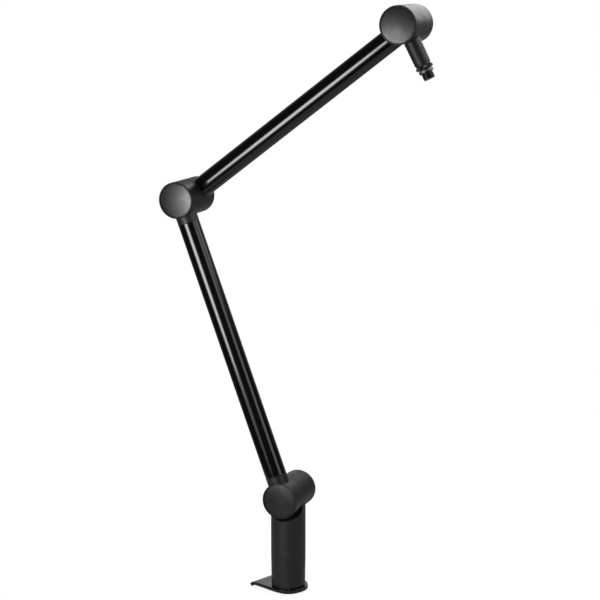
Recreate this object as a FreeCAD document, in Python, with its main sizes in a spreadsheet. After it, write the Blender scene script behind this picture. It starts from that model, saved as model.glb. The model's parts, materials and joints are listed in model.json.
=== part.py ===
import FreeCAD, Part
import math
import os
from types import SimpleNamespace

import Sketcher
from FreeCAD import Placement, Rotation, Vector

# A desk-mounted boom arm for a microphone. Two round tubes are joined by three barrel hinges whose
# axes all lie along Y, and a round column carries the lowest barrel and swivels on a base plate.
#
# Frame: millimetres, +Z up. The origin is on the column's axis at the face that sits on the desk.
# Both tubes lie in planes parallel to XZ: the lower tube in front of the column's centre (-Y), the
# upper tube behind it (+Y).
#
# Each barrel is two drums that meet at a seam. The short drum turns on a bush and holds the nut
# end of the axle; the long drum is fixed to the axle's head and, at the shoulder and elbow, is
# hollow for the torsion spring that carries the arm's weight.

SIZES = [
    ("plate_thickness", 4.6, "steel base plate"),
    ("pad_thickness", 3.4, "rubber pad under the plate"),
    ("plate_radius", 27.7, "rounded end and half width of the plate"),
    ("plate_reach", 39.4, "column axis to the start of the lip's bend"),
    ("lip_bend", 13.0, "outer radius of the turned-down lip"),
    ("lip_angle", 50.0, "degrees that the lip turns down"),
    ("lip_flat", 0.5, "flat end of the lip past its bend"),
    ("plate_heading", 157.7, "degrees from +X to the plate's lip"),
    ("plate_bevel", 0.9, "bevel round the plate's top edge"),
    ("pad_inset", 7.5, "pad edge inside the plate edge"),
    ("column_radius", 24.4, "outside of the column"),
    ("foot_radius", 23.8, "column base where it meets the plate"),
    ("foot_recess", 1.4, "depth of the dark gap under the column"),
    ("foot_rise", 2.2, "height of that gap"),
    ("seam_height", 55.0, "top of the fixed column base"),
    ("seam_gap", 0.6, "gap between the base and the sleeve that turns on it"),
    ("seam_edge", 0.3, "bevel of the edges at that gap"),
    ("seam_inset", 0.4, "thrust washer's edge inside the column"),
    ("shoulder_height", 139.5, "shoulder axis above the desk"),
    ("sleeve_drop", 6.0, "shoulder axis down to the sleeve's uncut top"),
    ("spindle_radius", 10.0, "steel swivel spindle"),
    ("spindle_flange", 16.0, "flange that stops the spindle pulling out"),
    ("flange_height", 4.0, "height of that flange"),
    ("spindle_boss", 9.0, "boss that centres the plate on the spindle"),
    ("boss_bottom", 1.5, "the boss's lower face above the desk"),
    ("spindle_top", 101.0, "upper end of the spindle"),
    ("desk_thread", 4.25, "tapped core of the M10 hole for the desk bolt"),
    ("desk_thread_depth", 28.0, "length of that hole"),
    ("drill_point", 2.5, "cone that the drill leaves at its end"),
    ("swivel_bush_radius", 13.0, "outside of the swivel bushes"),
    ("swivel_bush_length", 12.0, "length of the swivel bushes"),
    ("swivel_floor", 90.5, "shelf in the sleeve that the disc springs press on"),
    ("swivel_disc_radius", 17.5, "swivel disc spring"),
    ("swivel_disc_thickness", 0.7, "swivel disc spring"),
    ("swivel_disc_rise", 0.28, "height of its cone"),
    ("swivel_nut_width", 30.0, "across the flats of the swivel nut"),
    ("swivel_nut_height", 7.0, "height of the swivel nut"),
    ("pocket_radius", 19.0, "bore of the sleeve above that shelf"),
    ("stem_bottom", 103.5, "lower end of the shoulder bracket's stem"),
    ("stem_root", 12.0, "shoulder axis down to where the stem ends in the drum"),
    ("column_screw_radius", 2.5, "M5 screws that hold the stem"),
    ("column_screw_level", 5.0, "stem's lower end up to those screws"),
    ("column_screw_tip", 13.0, "column axis to their inner ends"),
    ("screw_sunk", 0.3, "screw ends below the surface"),
    ("scoop_radius", 32.0, "hollow in the column under the turning drum"),
    ("scoop_wall", 6.2, "seam to the end of that hollow"),
    ("scoop_fillet", 8.0, "rounded end of that hollow"),
    ("barrel_radius", 25.4, "all three barrels"),
    ("barrel_clearance", 0.8, "turning drum to the column"),
    ("front_reach", 33.8, "column centre to the front end, shoulder and elbow"),
    ("rear_reach", 41.6, "column centre to the rear end, shoulder and elbow"),
    ("head_front_reach", 38.2, "column centre to the head's front end"),
    ("head_rear_reach", 34.2, "column centre to the head's rear end"),
    ("seam_place", 1.0, "column centre back to the seam between the drums"),
    ("half_gap", 0.2, "half the gap at that seam"),
    ("rim", 1.5, "bevel round a drum's outer end"),
    ("edge", 0.3, "bevel round a drum's seam end"),
    ("cap_radius", 23.2, "end caps"),
    ("cap_gap", 0.3, "groove round a cap"),
    ("cap_seat", 3.6, "depth of the seat for a cap"),
    ("cap_dome", 1.2, "rise of a cap's face"),
    ("cap_rise", 0.3, "centre of a cap's face past the drum's end"),
    ("cap_floor", 3.0, "drum's end to the inside of the cap"),
    ("cap_skirt", 7.0, "drum's end to the end of the cap's skirt"),
    ("skirt_wall", 2.0, "wall of that skirt"),
    ("cavity_radius", 18.5, "hollow inside the drums"),
    ("hub_length", 13.0, "short drum's solid hub"),
    ("bush_radius", 8.0, "outside of a hinge bush"),
    ("bush_flange", 10.5, "radius of its flange"),
    ("flange_thickness", 1.0, "thickness of that flange"),
    ("axle_radius", 5.0, "M10 hinge axle"),
    ("running", 0.05, "radial clearance of a turning shaft"),
    ("hair", 0.02, "gap between flat faces that rub"),
    ("ring_inner", 19.3, "friction ring"),
    ("ring_outer", 23.1, "friction ring"),
    ("ring_seat", 1.3, "depth of the friction ring's groove"),
    ("hex_width", 16.0, "across the flats of axle head and lock nut"),
    ("hex_head", 5.0, "room for the axle head"),
    ("hex_slack", 0.4, "left between the head and the cap's seat"),
    ("lock_nut", 8.0, "height of the lock nut"),
    ("axle_past", 0.6, "axle end past its nut"),
    ("axle_bevel", 0.8, "bevel of that end"),
    ("disc_radius", 10.0, "hinge disc spring"),
    ("disc_thickness", 1.1, "hinge disc spring"),
    ("disc_rise", 0.35, "height of its cone"),
    ("wire", 1.8, "radius of the torsion springs' wire"),
    ("coil_radius", 14.2, "middle of the wire to the hinge axis"),
    ("coil_pitch", 4.2, "from turn to turn"),
    ("coil_turns", 4.75, "turns of a torsion spring"),
    ("coil_start", 2.2, "seam to the first turn"),
    ("first_leg", 5.4, "spring's leg past the seam into the other drum"),
    ("last_leg", 4.0, "spring's leg into the wall"),
    ("leg_slack", 0.2, "radial room round the first leg"),
    ("wall_slack", 0.1, "radial room round the last leg"),
    ("web", 6.0, "wall between spring and axle head"),
    ("web_left", 1.5, "wall left past the last leg's hole"),
    ("head_hollow", 2.0, "depth that the head's long drum is bored from its seam"),
    ("tube_radius", 15.0, "both arm tubes"),
    ("tube_wall", 1.5, "their wall"),
    ("tube_offset", 16.4, "column centre to the middle of either tube"),
    ("collar_start", 19.0, "hinge axis to the root of a collar"),
    ("lower_reach", 34.5, "hinge axis to the end of the lower tube"),
    ("upper_reach", 24.2, "hinge axis to the end of the upper tube, sunk in the drum"),
    ("stub_length", 22.0, "length of a collar's stub inside the tube"),
    ("stub_bore", 10.0, "bore of that stub"),
    ("bore_root", 3.0, "how far that bore runs on into the collar"),
    ("first_screw", 7.0, "end of a tube to its first screw"),
    ("last_screw", 16.0, "end of a tube to its second screw"),
    ("lower_length", 440.0, "shoulder axis to elbow axis"),
    ("upper_length", 401.7, "elbow axis to head axis"),
    ("lower_lean", 20.35, "degrees from vertical towards -X"),
    ("upper_rise", 37.23, "degrees above +X"),
    ("spigot_lean", 27.12, "degrees from straight down towards +X"),
    ("spigot_offset", 10.4, "column centre to the spigot's axis"),
    ("spigot_start", 15.0, "head axis to the spigot's uncut root"),
    ("spigot_root", 11.2, "radius at the head"),
    ("taper_start", 27.0, "head axis to the start of its taper"),
    ("spigot_tip", 10.9, "radius at its end"),
    ("spigot_end", 56.5, "head axis to the end of the spigot"),
    ("spigot_bevel", 0.6, "bevel of that end"),
    ("tenon_radius", 8.0, "spigot's tenon in the drum"),
    ("tenon_start", 10.5, "head axis to the tenon's end"),
    ("thread_radius", 7.9, "5/8 inch microphone thread"),
    ("thread_end", 77.8, "head axis to the end of the thread"),
    ("thread_bevel", 0.9, "bevel of that end"),
    ("shank_radius", 6.0, "thread stud's plain shank inside the spigot"),
    ("shank_length", 18.0, "length of that shank"),
    ("washer_grip", 0.5, "depth that the washer is swaged into the stud"),
    ("neck_radius", 10.0, "neck between the spigot and its lock ring"),
    ("ring_start", 59.2, "head axis to the lock ring"),
    ("neck_gap", 0.3, "neck to the lock ring"),
    ("ring_end", 63.2, "far side of the lock ring"),
    ("ring_radius", 11.5, "knurled lock ring"),
    ("ring_bevel", 0.5, "bevel of the lock ring and the washer"),
    ("washer_start", 64.6, "head axis to the thread washer"),
    ("washer_end", 68.4, "far side of the thread washer"),
    ("washer_radius", 9.8, "thread washer"),
    ("screw_radius", 2.0, "M4 screws"),
    ("screw_slack", 0.2, "radial room in a screw's clearance hole"),
    ("screw_length", 14.0, "plate screws"),
    ("tap_depth", 12.0, "their tapped holes in the column base"),
    ("screw_circle", 19.6, "column axis to the plate screws"),
]


class Size:
    """A length or angle that carries its value and the expression that ties it to the sheet."""

    def __init__(self, text, value):
        self.text, self.value = text, value

    def __add__(self, other):
        other = as_size(other)
        return Size(f"({self.text} + {other.text})", self.value + other.value)

    def __sub__(self, other):
        other = as_size(other)
        return Size(f"({self.text} - {other.text})", self.value - other.value)

    def __mul__(self, other):
        other = as_size(other)
        return Size(f"({self.text} * {other.text})", self.value * other.value)

    def __rsub__(self, other):
        return as_size(other) - self

    def __neg__(self):
        return Size(f"(-1 * {self.text})", -self.value)

    __radd__ = __add__
    __rmul__ = __mul__


def as_size(number):
    """Wrap a plain number so that it can be mixed with sizes from the sheet."""
    return number if isinstance(number, Size) else Size(repr(float(number)), float(number))


doc = FreeCAD.newDocument("BoomArm")
sheet = doc.addObject("Spreadsheet::Sheet", "Sizes")
for row, (alias, number, remark) in enumerate(SIZES, start=1):
    sheet.set(f"A{row}", alias)
    sheet.set(f"B{row}", str(number))
    sheet.set(f"C{row}", remark)
    sheet.setAlias(f"B{row}", alias)
doc.recompute()
s = SimpleNamespace(**{alias: Size(f"Sizes.{alias}", number) for alias, number, _ in SIZES})

nodes = []
PAST = 1.0  # how far a cutting shape runs past what it cuts
THROUGH = 60.0  # length of a shape that cuts right through

# ---------------------------------------------------------------------------------------------
# Building blocks
# ---------------------------------------------------------------------------------------------


def bind(item, **sizes):
    """Tie properties of a document object to the sheet."""
    for name, size in sizes.items():
        item.setExpression(name, as_size(size).text)


def keep(item, label, place=Placement()):
    """Name a finished piece and put it in its place."""
    item.Label = label
    item.Placement = place
    nodes.append(item)
    return item


def origin_plane(body, role):
    """One of a body's own three planes."""
    return next(plane for plane in body.Origin.OriginFeatures if plane.Role == role)


def new_sketch(body, name, role):
    """A sketch on one of a body's own planes."""
    sketch = body.newObject("Sketcher::SketchObject", name)
    sketch.AttachmentSupport = (origin_plane(body, role), [""])
    sketch.MapMode = "FlatFace"
    return sketch


def pin(sketch, kind, curve, point, size):
    """Fix one coordinate of a point in a sketch to a size."""
    size = as_size(size)
    index = sketch.addConstraint(Sketcher.Constraint(kind, -1, 1, curve, point, size.value))
    sketch.setExpression(f"Constraints[{index}]", size.text)


def outline(sketch, corners, dome=None):
    """Draw a closed outline. The side after corner number dome is an arc centred on the Y axis."""
    places = [Vector(as_size(across).value, as_size(along).value, 0) for across, along in corners]
    count = len(corners)
    for i, start in enumerate(places):
        end = places[(i + 1) % count]
        if i == dome:
            sagitta, chord = end.y - start.y, start.x
            radius = (chord**2 + sagitta**2) / (2 * sagitta)
            centre = Vector(0, end.y - radius, 0)
            first = math.atan2(start.y - centre.y, start.x)
            circle = Part.Circle(centre, Vector(0, 0, 1), radius)
            sketch.addGeometry(Part.ArcOfCircle(circle, first, math.pi / 2))
        else:
            sketch.addGeometry(Part.LineSegment(start, end))
    for i in range(count):
        sketch.addConstraint(Sketcher.Constraint("Coincident", i, 2, (i + 1) % count, 1))
    for i, (across, along) in enumerate(corners):
        pin(sketch, "DistanceX", i, 1, across)
        pin(sketch, "DistanceY", i, 1, along)
    if dome is not None:
        sketch.addConstraint(Sketcher.Constraint("PointOnObject", dome, 3, -2))


def turned(name, corners, dome=None):
    """A turned piece: an outline of (radius, place along the axis) corners spun about Z."""
    body = doc.addObject("PartDesign::Body", name)
    profile = new_sketch(body, name + "_outline", "XZ_Plane")
    outline(profile, corners, dome)
    spin = body.newObject("PartDesign::Revolution", name + "_turning")
    spin.Profile = profile
    spin.ReferenceAxis = (profile, ["V_Axis"])
    spin.Angle = 360.0
    profile.Visibility = False
    return body


def ring(name, inner, outer, start, end):
    """A plain turned ring."""
    return turned(name, [(inner, start), (outer, start), (outer, end), (inner, end)])


def along(direction, origin=Vector()):
    """A placement whose Z axis points along a direction."""
    return Placement(origin, Rotation(Vector(0, 0, 1), direction))


def rod(name, radius, length, place=Placement()):
    """A plain cylinder."""
    item = doc.addObject("Part::Cylinder", name)
    bind(item, Radius=radius, Height=length)
    item.Placement = place
    return item


def hexagon(name, width, height, place=Placement()):
    """A hexagonal prism, sized across its flats."""
    item = doc.addObject("Part::Prism", name)
    item.Polygon = 6
    bind(item, Circumradius=as_size(width) * (1 / math.sqrt(3)), Height=height)
    item.Placement = place
    return item


def fuse(name, *items):
    """Several shapes as one solid."""
    whole = doc.addObject("Part::MultiFuse", name)
    whole.Shapes = list(items)
    whole.Refine = True
    return whole


def cut(name, base, *tools):
    """A shape with one or more tools taken out of it."""
    result = doc.addObject("Part::Cut", name)
    result.Base = base
    result.Tool = tools[0] if len(tools) == 1 else fuse(name + "_tools", *tools)
    result.Refine = True
    return result


def group(name, items):
    """Separate solids that share one node."""
    compound = doc.addObject("Part::Compound", name)
    compound.Links = list(items)
    return compound


# ---------------------------------------------------------------------------------------------
# Places: the three hinge axes and the directions of the arms
# ---------------------------------------------------------------------------------------------


def heading(degrees):
    """A direction in the XZ plane, in degrees from +X towards +Z."""
    turn = math.radians(degrees)
    return Vector(math.cos(turn), 0, math.sin(turn))


FRONT, REAR = -1, 1
SCREW_STEPS = (s.first_screw, s.last_screw)
lower_way = heading(90 + s.lower_lean.value)
upper_way = heading(s.upper_rise.value)
spigot_way = heading(s.spigot_lean.value - 90)
shoulder = Vector(0, 0, s.shoulder_height.value)
elbow = shoulder + lower_way * s.lower_length.value
head = elbow + upper_way * s.upper_length.value


def barrel_frame(pivot, side, towards):
    """A drum's own frame: Z runs out from the seam along the hinge, X towards the arm it carries."""
    seam = pivot + Vector(0, s.seam_place.value + side * s.half_gap.value, 0)
    return Placement(seam, Rotation(towards, Vector(), Vector(0, side, 0), "ZXY"))


def from_seam(offset, side):
    """How far a place at an offset from the column's centre lies out from a drum's seam face."""
    return offset - side * s.seam_place - s.half_gap


# ---------------------------------------------------------------------------------------------
# Base: plate, pad, fixed column base, spindle
# ---------------------------------------------------------------------------------------------

floor_height = s.pad_thickness + s.plate_thickness
plate_turn = Placement(Vector(), Rotation(Vector(0, 0, 1), s.plate_heading.value))
screw_angles = [45, 135, 225, 315]


def tongue(name, radius, reach, height, bottom):
    """An upright block with one round end about the column axis and straight sides."""
    block = doc.addObject("Part::Box", name + "_block")
    bind(block, Length=reach, Width=radius * 2, Height=height)
    block.setExpression("Placement.Base.y", (-radius).text)
    block.setExpression("Placement.Base.z", as_size(bottom).text)
    end = rod(name + "_end", radius, height)
    end.setExpression("Placement.Base.z", as_size(bottom).text)
    return fuse(name + "_tongue", block, end)


def make_plate_strip():
    """The plate's side view, with its lip turned down, as wide as the plate."""
    bend = math.radians(s.lip_angle.value)
    lean, rise = math.cos(bend), math.sin(bend)
    outer_corner = s.plate_reach + s.lip_bend * math.tan(bend / 2)
    inner_corner = s.plate_reach + (s.lip_bend - s.plate_thickness) * math.tan(bend / 2)
    slope = s.lip_bend * math.tan(bend / 2) + s.lip_flat
    tip, tip_height = outer_corner + slope * lean, floor_height - slope * rise
    body = doc.addObject("PartDesign::Body", "plate_strip")
    side_view = new_sketch(body, "plate_side_view", "XZ_Plane")
    outline(side_view, [
        (-s.plate_radius, s.pad_thickness), (inner_corner, s.pad_thickness),
        (tip - s.plate_thickness * rise, tip_height - s.plate_thickness * lean),
        (tip, tip_height), (outer_corner, floor_height), (-s.plate_radius, floor_height),
    ])
    strip = body.newObject("PartDesign::Pad", "plate_width")
    strip.Profile = side_view
    strip.Midplane = True
    bind(strip, Length=s.plate_radius * 2)
    doc.recompute()
    below = s.lip_bend - s.plate_thickness
    for name, corner, height, radius in (("plate_bend", outer_corner, floor_height, s.lip_bend),
                                         ("plate_inner_bend", inner_corner, s.pad_thickness, below)):
        base = body.Tip
        edge = next(
            i for i, line in enumerate(base.Shape.Edges, start=1)
            if all(abs(v.X - corner.value) + abs(v.Z - height.value) < 0.01 for v in line.Vertexes)
        )
        fillet = body.newObject("PartDesign::Fillet", name)
        fillet.Base = (base, [f"Edge{edge}"])
        bind(fillet, Radius=radius)
        doc.recompute()
    return body, tip


def make_base():
    """The parts that stay still: they stand on the desk and carry the swivel."""
    strip, tip = make_plate_strip()
    blank = tongue("plate", s.plate_radius, tip + PAST, floor_height + PAST, -PAST)
    doc.recompute()
    upper_edges = [
        i for i, line in enumerate(blank.Shape.Edges, start=1)
        if all(abs(v.Z - floor_height.value) < 0.01 for v in line.Vertexes)
        and min(v.X for v in line.Vertexes) < tip.value
    ]
    bevelled = doc.addObject("Part::Chamfer", "plate_bevelled")
    bevelled.Base = blank
    bevelled.Edges = [(i, s.plate_bevel.value, s.plate_bevel.value) for i in upper_edges]
    shaped = doc.addObject("Part::Common", "plate_shaped")
    shaped.Base = strip
    shaped.Tool = bevelled
    holes = [rod("plate_centre_hole", s.spindle_boss, floor_height)]
    sinks, screws = [], []
    for i, angle in enumerate(screw_angles):
        spot = Rotation(Vector(0, 0, 1), angle).multVec(Vector(s.screw_circle.value, 0, 0))
        under = spot + Vector(0, 0, s.pad_thickness.value)
        holes.append(rod(f"plate_screw_hole_{i}", s.screw_radius + s.screw_slack, THROUGH,
                         Placement(spot, Rotation())))
        sink = doc.addObject("Part::Cone", f"plate_sink_{i}")
        bind(sink, Radius1=s.screw_radius * 2 + s.screw_slack, Radius2=s.screw_radius,
             Height=s.screw_radius + s.screw_slack)
        sink.Placement = Placement(under, Rotation())
        sinks.append(sink)
        screw = turned(f"plate_screw_{i}", [
            (0, 0), (s.screw_radius * 2, 0), (s.screw_radius, s.screw_radius),
            (s.screw_radius, s.screw_length), (0, s.screw_length),
        ])
        screw.Placement = Placement(under, Rotation())
        screws.append(screw)
    keep(cut("base_plate", shaped, *holes, *sinks), "base_plate", plate_turn)
    keep(group("plate_screws", screws), "plate_screws", plate_turn)

    pad = tongue("pad", s.plate_radius - s.pad_inset, s.plate_reach - s.pad_inset, s.pad_thickness, 0)
    keep(cut("base_pad", pad, rod("pad_hole", s.spindle_boss + PAST, THROUGH)), "base_pad", plate_turn)

    top = s.seam_height
    casting = turned("column_base_casting", [
        (s.spindle_flange, floor_height), (s.foot_radius - s.foot_recess, floor_height),
        (s.foot_radius - s.foot_recess, floor_height + s.foot_rise),
        (s.foot_radius - s.seam_edge, floor_height + s.foot_rise),
        (s.foot_radius, floor_height + s.foot_rise + s.seam_edge),
        (s.column_radius, top - s.seam_edge), (s.column_radius - s.seam_edge, top),
        (s.spindle_radius, top), (s.spindle_radius, floor_height + s.flange_height),
        (s.spindle_flange, floor_height + s.flange_height),
    ])
    taps = []
    for i, angle in enumerate(screw_angles):
        spot = Rotation(Vector(0, 0, 1), angle).multVec(Vector(s.screw_circle.value, 0, floor_height.value))
        taps.append(rod(f"column_base_tap_{i}", s.screw_radius, s.tap_depth, Placement(spot, Rotation())))
    keep(cut("column_base", casting, *taps), "column_base", plate_turn)

    depth = s.boss_bottom + s.desk_thread_depth
    keep(turned("swivel_spindle", [
        (s.desk_thread, s.boss_bottom), (s.spindle_boss, s.boss_bottom),
        (s.spindle_boss, floor_height), (s.spindle_flange, floor_height),
        (s.spindle_flange, floor_height + s.flange_height),
        (s.spindle_radius, floor_height + s.flange_height),
        (s.spindle_radius, s.spindle_top - s.axle_bevel),
        (s.spindle_radius - s.axle_bevel, s.spindle_top),
        (0, s.spindle_top), (0, depth + s.drill_point), (s.desk_thread, depth),
    ]), "swivel_spindle")
    keep(ring("swivel_thrust_washer", s.spindle_radius + s.seam_edge, s.column_radius - s.seam_inset,
              s.seam_height, s.seam_height + s.seam_gap - s.hair), "swivel_thrust_washer")

    start = s.swivel_floor + s.hair
    step = s.swivel_disc_thickness + s.swivel_disc_rise + s.hair
    keep(group("swivel_disc_springs", [
        disc(f"swivel_disc_{i}", s.spindle_radius + s.wall_slack, s.swivel_disc_radius,
             start + i * step, s.swivel_disc_thickness, s.swivel_disc_rise, i % 2 == 0)
        for i in range(2)
    ]), "swivel_disc_springs")
    nut_start = start + 2 * step
    nut = hexagon("swivel_nut_hex", s.swivel_nut_width, s.swivel_nut_height,
                  Placement(Vector(0, 0, nut_start.value), Rotation()))
    bore = rod("swivel_nut_bore", s.spindle_radius, THROUGH,
               Placement(Vector(0, 0, nut_start.value - PAST), Rotation()))
    keep(cut("swivel_lock_nut", nut, bore), "swivel_lock_nut")


def disc(name, inner, outer, start, thickness, rise, cupped):
    """A conical disc spring: cupped ones rise towards the axis, the others towards the rim."""
    low, high = as_size(start), as_size(start) + rise
    in_low, out_low = (high, low) if cupped else (low, high)
    return turned(name, [
        (inner, in_low), (outer, out_low), (outer, out_low + thickness), (inner, in_low + thickness),
    ])


# ---------------------------------------------------------------------------------------------
# Barrels
# ---------------------------------------------------------------------------------------------


def cap_seat(length):
    """Corners of a drum's outer end, from the outside in: bevel, groove and seat for the cap."""
    return [
        (s.barrel_radius, length - s.rim), (s.barrel_radius - s.rim, length),
        (s.cap_radius + s.cap_gap, length), (s.cap_radius + s.cap_gap, length - s.cap_seat),
        (s.cavity_radius, length - s.cap_seat),
    ]


def short_drum(name, length):
    """A drum with a hub for the bush and room for the nut."""
    return turned(name, [
        (s.barrel_radius - s.edge, 0), (s.barrel_radius, s.edge), *cap_seat(length),
        (s.cavity_radius, s.hub_length), (s.bush_radius, s.hub_length), (s.bush_radius, 0),
    ])


def long_drum(name, length, hollow):
    """A drum with a wall that holds the axle's head; hollow is how deep its seam side is bored."""
    wall_end = length - s.cap_seat - s.hex_head
    return turned(name, [
        (s.barrel_radius - s.edge, 0), (s.barrel_radius, s.edge), *cap_seat(length),
        (s.cavity_radius, wall_end), (s.axle_radius, wall_end), (s.axle_radius, hollow),
        (s.cavity_radius, hollow), (s.cavity_radius, 0),
    ])


def cap(label, length, place):
    """A domed cap that snaps into a drum's end with a skirt."""
    keep(turned(label, [
        (0, length - s.cap_floor), (s.cavity_radius - s.skirt_wall, length - s.cap_floor),
        (s.cavity_radius - s.skirt_wall, length - s.cap_skirt),
        (s.cavity_radius - s.running, length - s.cap_skirt),
        (s.cavity_radius - s.running, length - s.cap_seat), (s.cap_radius, length - s.cap_seat),
        (s.cap_radius, length + s.cap_rise - s.cap_dome), (0, length + s.cap_rise),
    ], dome=6), label, place)


def collar(name, offset, reach):
    """The collar that a tube butts against, and the stub that it slides over, at an offset.

    The bore of the stub and the seat of the tube's end come after them, to be cut out.
    """
    centre = as_size(offset).value
    start = along(Vector(1, 0, 0), Vector(s.collar_start.value, 0, centre))
    root = rod(name + "_root", s.tube_radius, reach - s.collar_start, start)
    stub = rod(name + "_stub", s.tube_radius - s.tube_wall,
               reach - s.collar_start + s.stub_length, start)
    bore_start = along(Vector(1, 0, 0), Vector((reach - s.bore_root).value, 0, centre))
    bore = rod(name + "_bore", s.stub_bore, THROUGH, bore_start)
    socket = ring(name + "_socket", s.tube_radius - s.tube_wall, s.tube_radius, reach, THROUGH)
    socket.Placement = along(Vector(1, 0, 0), Vector(0, 0, centre))
    return [root, stub], [bore, socket]


def screw_places(offset, reach):
    """Places on a stub's axis that its tube's two screws point at."""
    for step in SCREW_STEPS:
        yield Vector((reach + step).value, 0, as_size(offset).value)


def screw_taps(name, offset, side, reach):
    """Tapped holes in a stub for the tube's screws, which go in from behind."""
    return [
        rod(f"{name}_tap_{i}", s.screw_radius, s.tube_radius, along(Vector(0, 0, side), spot))
        for i, spot in enumerate(screw_places(offset, reach))
    ]


def hinge_core(name, long_side, pivot, short_length, long_length):
    """What every barrel holds inside: bush, friction ring, axle, disc springs, lock nut, caps."""
    short_place = barrel_frame(pivot, -long_side, Vector(1, 0, 0))
    long_place = barrel_frame(pivot, long_side, Vector(1, 0, 0))
    bore = s.axle_radius + s.running
    flange = s.hub_length + s.flange_thickness
    keep(turned(name + "_bush", [
        (bore, 0), (s.bush_radius, 0), (s.bush_radius, s.hub_length), (s.bush_flange, s.hub_length),
        (s.bush_flange, flange), (bore, flange),
    ]), name + "_bush", short_place)
    keep(ring(name + "_friction_ring", s.ring_inner, s.ring_outer, s.hair - s.half_gap * 2,
              s.ring_seat), name + "_friction_ring", short_place)

    step = s.disc_thickness + s.disc_rise + s.hair
    first = flange + s.hair
    keep(group(name + "_disc_springs", [
        disc(f"{name}_disc_{i}", s.axle_radius + s.wall_slack, s.disc_radius, first + i * step,
             s.disc_thickness, s.disc_rise, i % 2 == 0)
        for i in range(4)
    ]), name + "_disc_springs", short_place)
    nut_start = first + 4 * step
    nut = hexagon(name + "_nut_hex", s.hex_width, s.lock_nut,
                  Placement(Vector(0, 0, nut_start.value), Rotation()))
    nut_bore = rod(name + "_nut_bore", s.axle_radius, THROUGH)
    keep(cut(name + "_lock_nut", nut, nut_bore), name + "_lock_nut", short_place)

    wall_end = long_length - s.cap_seat - s.hex_head
    shaft_end = -(nut_start + s.lock_nut + s.axle_past + s.half_gap * 2)
    shaft = turned(name + "_axle_shaft", [
        (0, shaft_end), (s.axle_radius - s.axle_bevel, shaft_end),
        (s.axle_radius, shaft_end + s.axle_bevel), (s.axle_radius, wall_end + PAST), (0, wall_end + PAST),
    ])
    top = hexagon(name + "_axle_hex", s.hex_width, s.hex_head - s.hex_slack,
                  Placement(Vector(0, 0, wall_end.value), Rotation()))
    keep(fuse(name + "_axle", shaft, top), name + "_axle", long_place)

    sides = {FRONT: "_front_cap", REAR: "_rear_cap"}
    cap(name + sides[-long_side], short_length, short_place)
    cap(name + sides[long_side], long_length, long_place)


def torsion_spring(name, pivot, hollow):
    """A wound spring in the long drum, with a leg along the hinge at each end."""
    body = doc.addObject("PartDesign::Body", name + "_coil")
    section = new_sketch(body, name + "_section", "XZ_Plane")
    middle = Vector(s.coil_radius.value, s.coil_start.value, 0)
    section.addGeometry(Part.Circle(middle, Vector(0, 0, 1), s.wire.value))
    index = section.addConstraint(Sketcher.Constraint("Radius", 0, s.wire.value))
    section.setExpression(f"Constraints[{index}]", s.wire.text)
    pin(section, "DistanceX", 0, 3, s.coil_radius)
    pin(section, "DistanceY", 0, 3, s.coil_start)
    coil = body.newObject("PartDesign::AdditiveHelix", name + "_helix")
    coil.Profile = section
    coil.ReferenceAxis = (section, ["V_Axis"])
    coil.Mode = "pitch-height-angle"
    bind(coil, Pitch=s.coil_pitch, Height=s.coil_pitch * s.coil_turns)
    section.Visibility = False
    first_leg = rod(name + "_first_leg", s.wire, s.coil_start + s.first_leg,
                    Placement(Vector(s.coil_radius.value, 0, -s.first_leg.value), Rotation()))
    last = s.coil_start + s.coil_pitch * s.coil_turns
    last_leg = rod(name + "_last_leg", s.wire, hollow + s.last_leg - last, coil_end(last))
    keep(fuse(name, body, first_leg, last_leg), name, barrel_frame(pivot, REAR, Vector(1, 0, 0)))


def coil_end(height):
    """Where a torsion spring's last turn ends, at a height in the long drum's frame."""
    around = Rotation(Vector(0, 0, 1), 360 * (s.coil_turns.value % 1))
    return Placement(around.multVec(Vector(s.coil_radius.value, 0, as_size(height).value)), Rotation())


def last_leg_hole(name, frame):
    """The blind hole in a long drum's wall for a spring's last leg, in a frame's own terms."""
    spring_frame = barrel_frame(Vector(), REAR, Vector(1, 0, 0))
    return rod(name, s.wire + s.wall_slack, s.web - s.web_left,
               frame.inverse().multiply(spring_frame).multiply(coil_end(spring_room)))


def leg_hole(name, towards, side):
    """The blind hole in a short drum's seam face for a spring's first leg."""
    frame = barrel_frame(Vector(), side, towards)
    leg = barrel_frame(Vector(), REAR, Vector(1, 0, 0)).multVec(Vector(s.coil_radius.value, 0, 0))
    spot = frame.inverse().multVec(leg)
    return rod(name, s.wire + s.leg_slack, s.first_leg + 2 * PAST,
               Placement(Vector(spot.x, spot.y, -PAST), Rotation()))


short_front = from_seam(s.front_reach, FRONT)
long_rear = from_seam(s.rear_reach, REAR)
long_head = from_seam(s.head_front_reach, FRONT)
short_head = from_seam(s.head_rear_reach, REAR)
front_tube = from_seam(s.tube_offset, FRONT)
rear_tube = from_seam(s.tube_offset, REAR)
spring_room = long_rear - s.cap_seat - s.hex_head - s.web


def make_short_drum(label, side, pivot, towards, length, offset, reach, spring):
    """A short drum with its tube's collar, seats for cap and friction ring, and a spring's leg hole."""
    parts, hollows = collar(label, offset, reach)
    seat_place = Placement(Vector(0, 0, (length - s.cap_seat).value), Rotation())
    tools = [
        *hollows,
        rod(label + "_cap_seat", s.cap_radius + s.cap_gap, s.cap_seat * 2, seat_place),
        ring(label + "_groove", s.ring_inner, s.ring_outer, -PAST, s.ring_seat),
        *screw_taps(label, offset, side, reach),
    ]
    if spring:
        tools.append(leg_hole(label + "_leg_hole", towards, side))
    whole = fuse(label + "_whole", short_drum(label + "_turned", length), *parts)
    keep(cut(label, whole, *tools), label, barrel_frame(pivot, side, towards))


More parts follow.
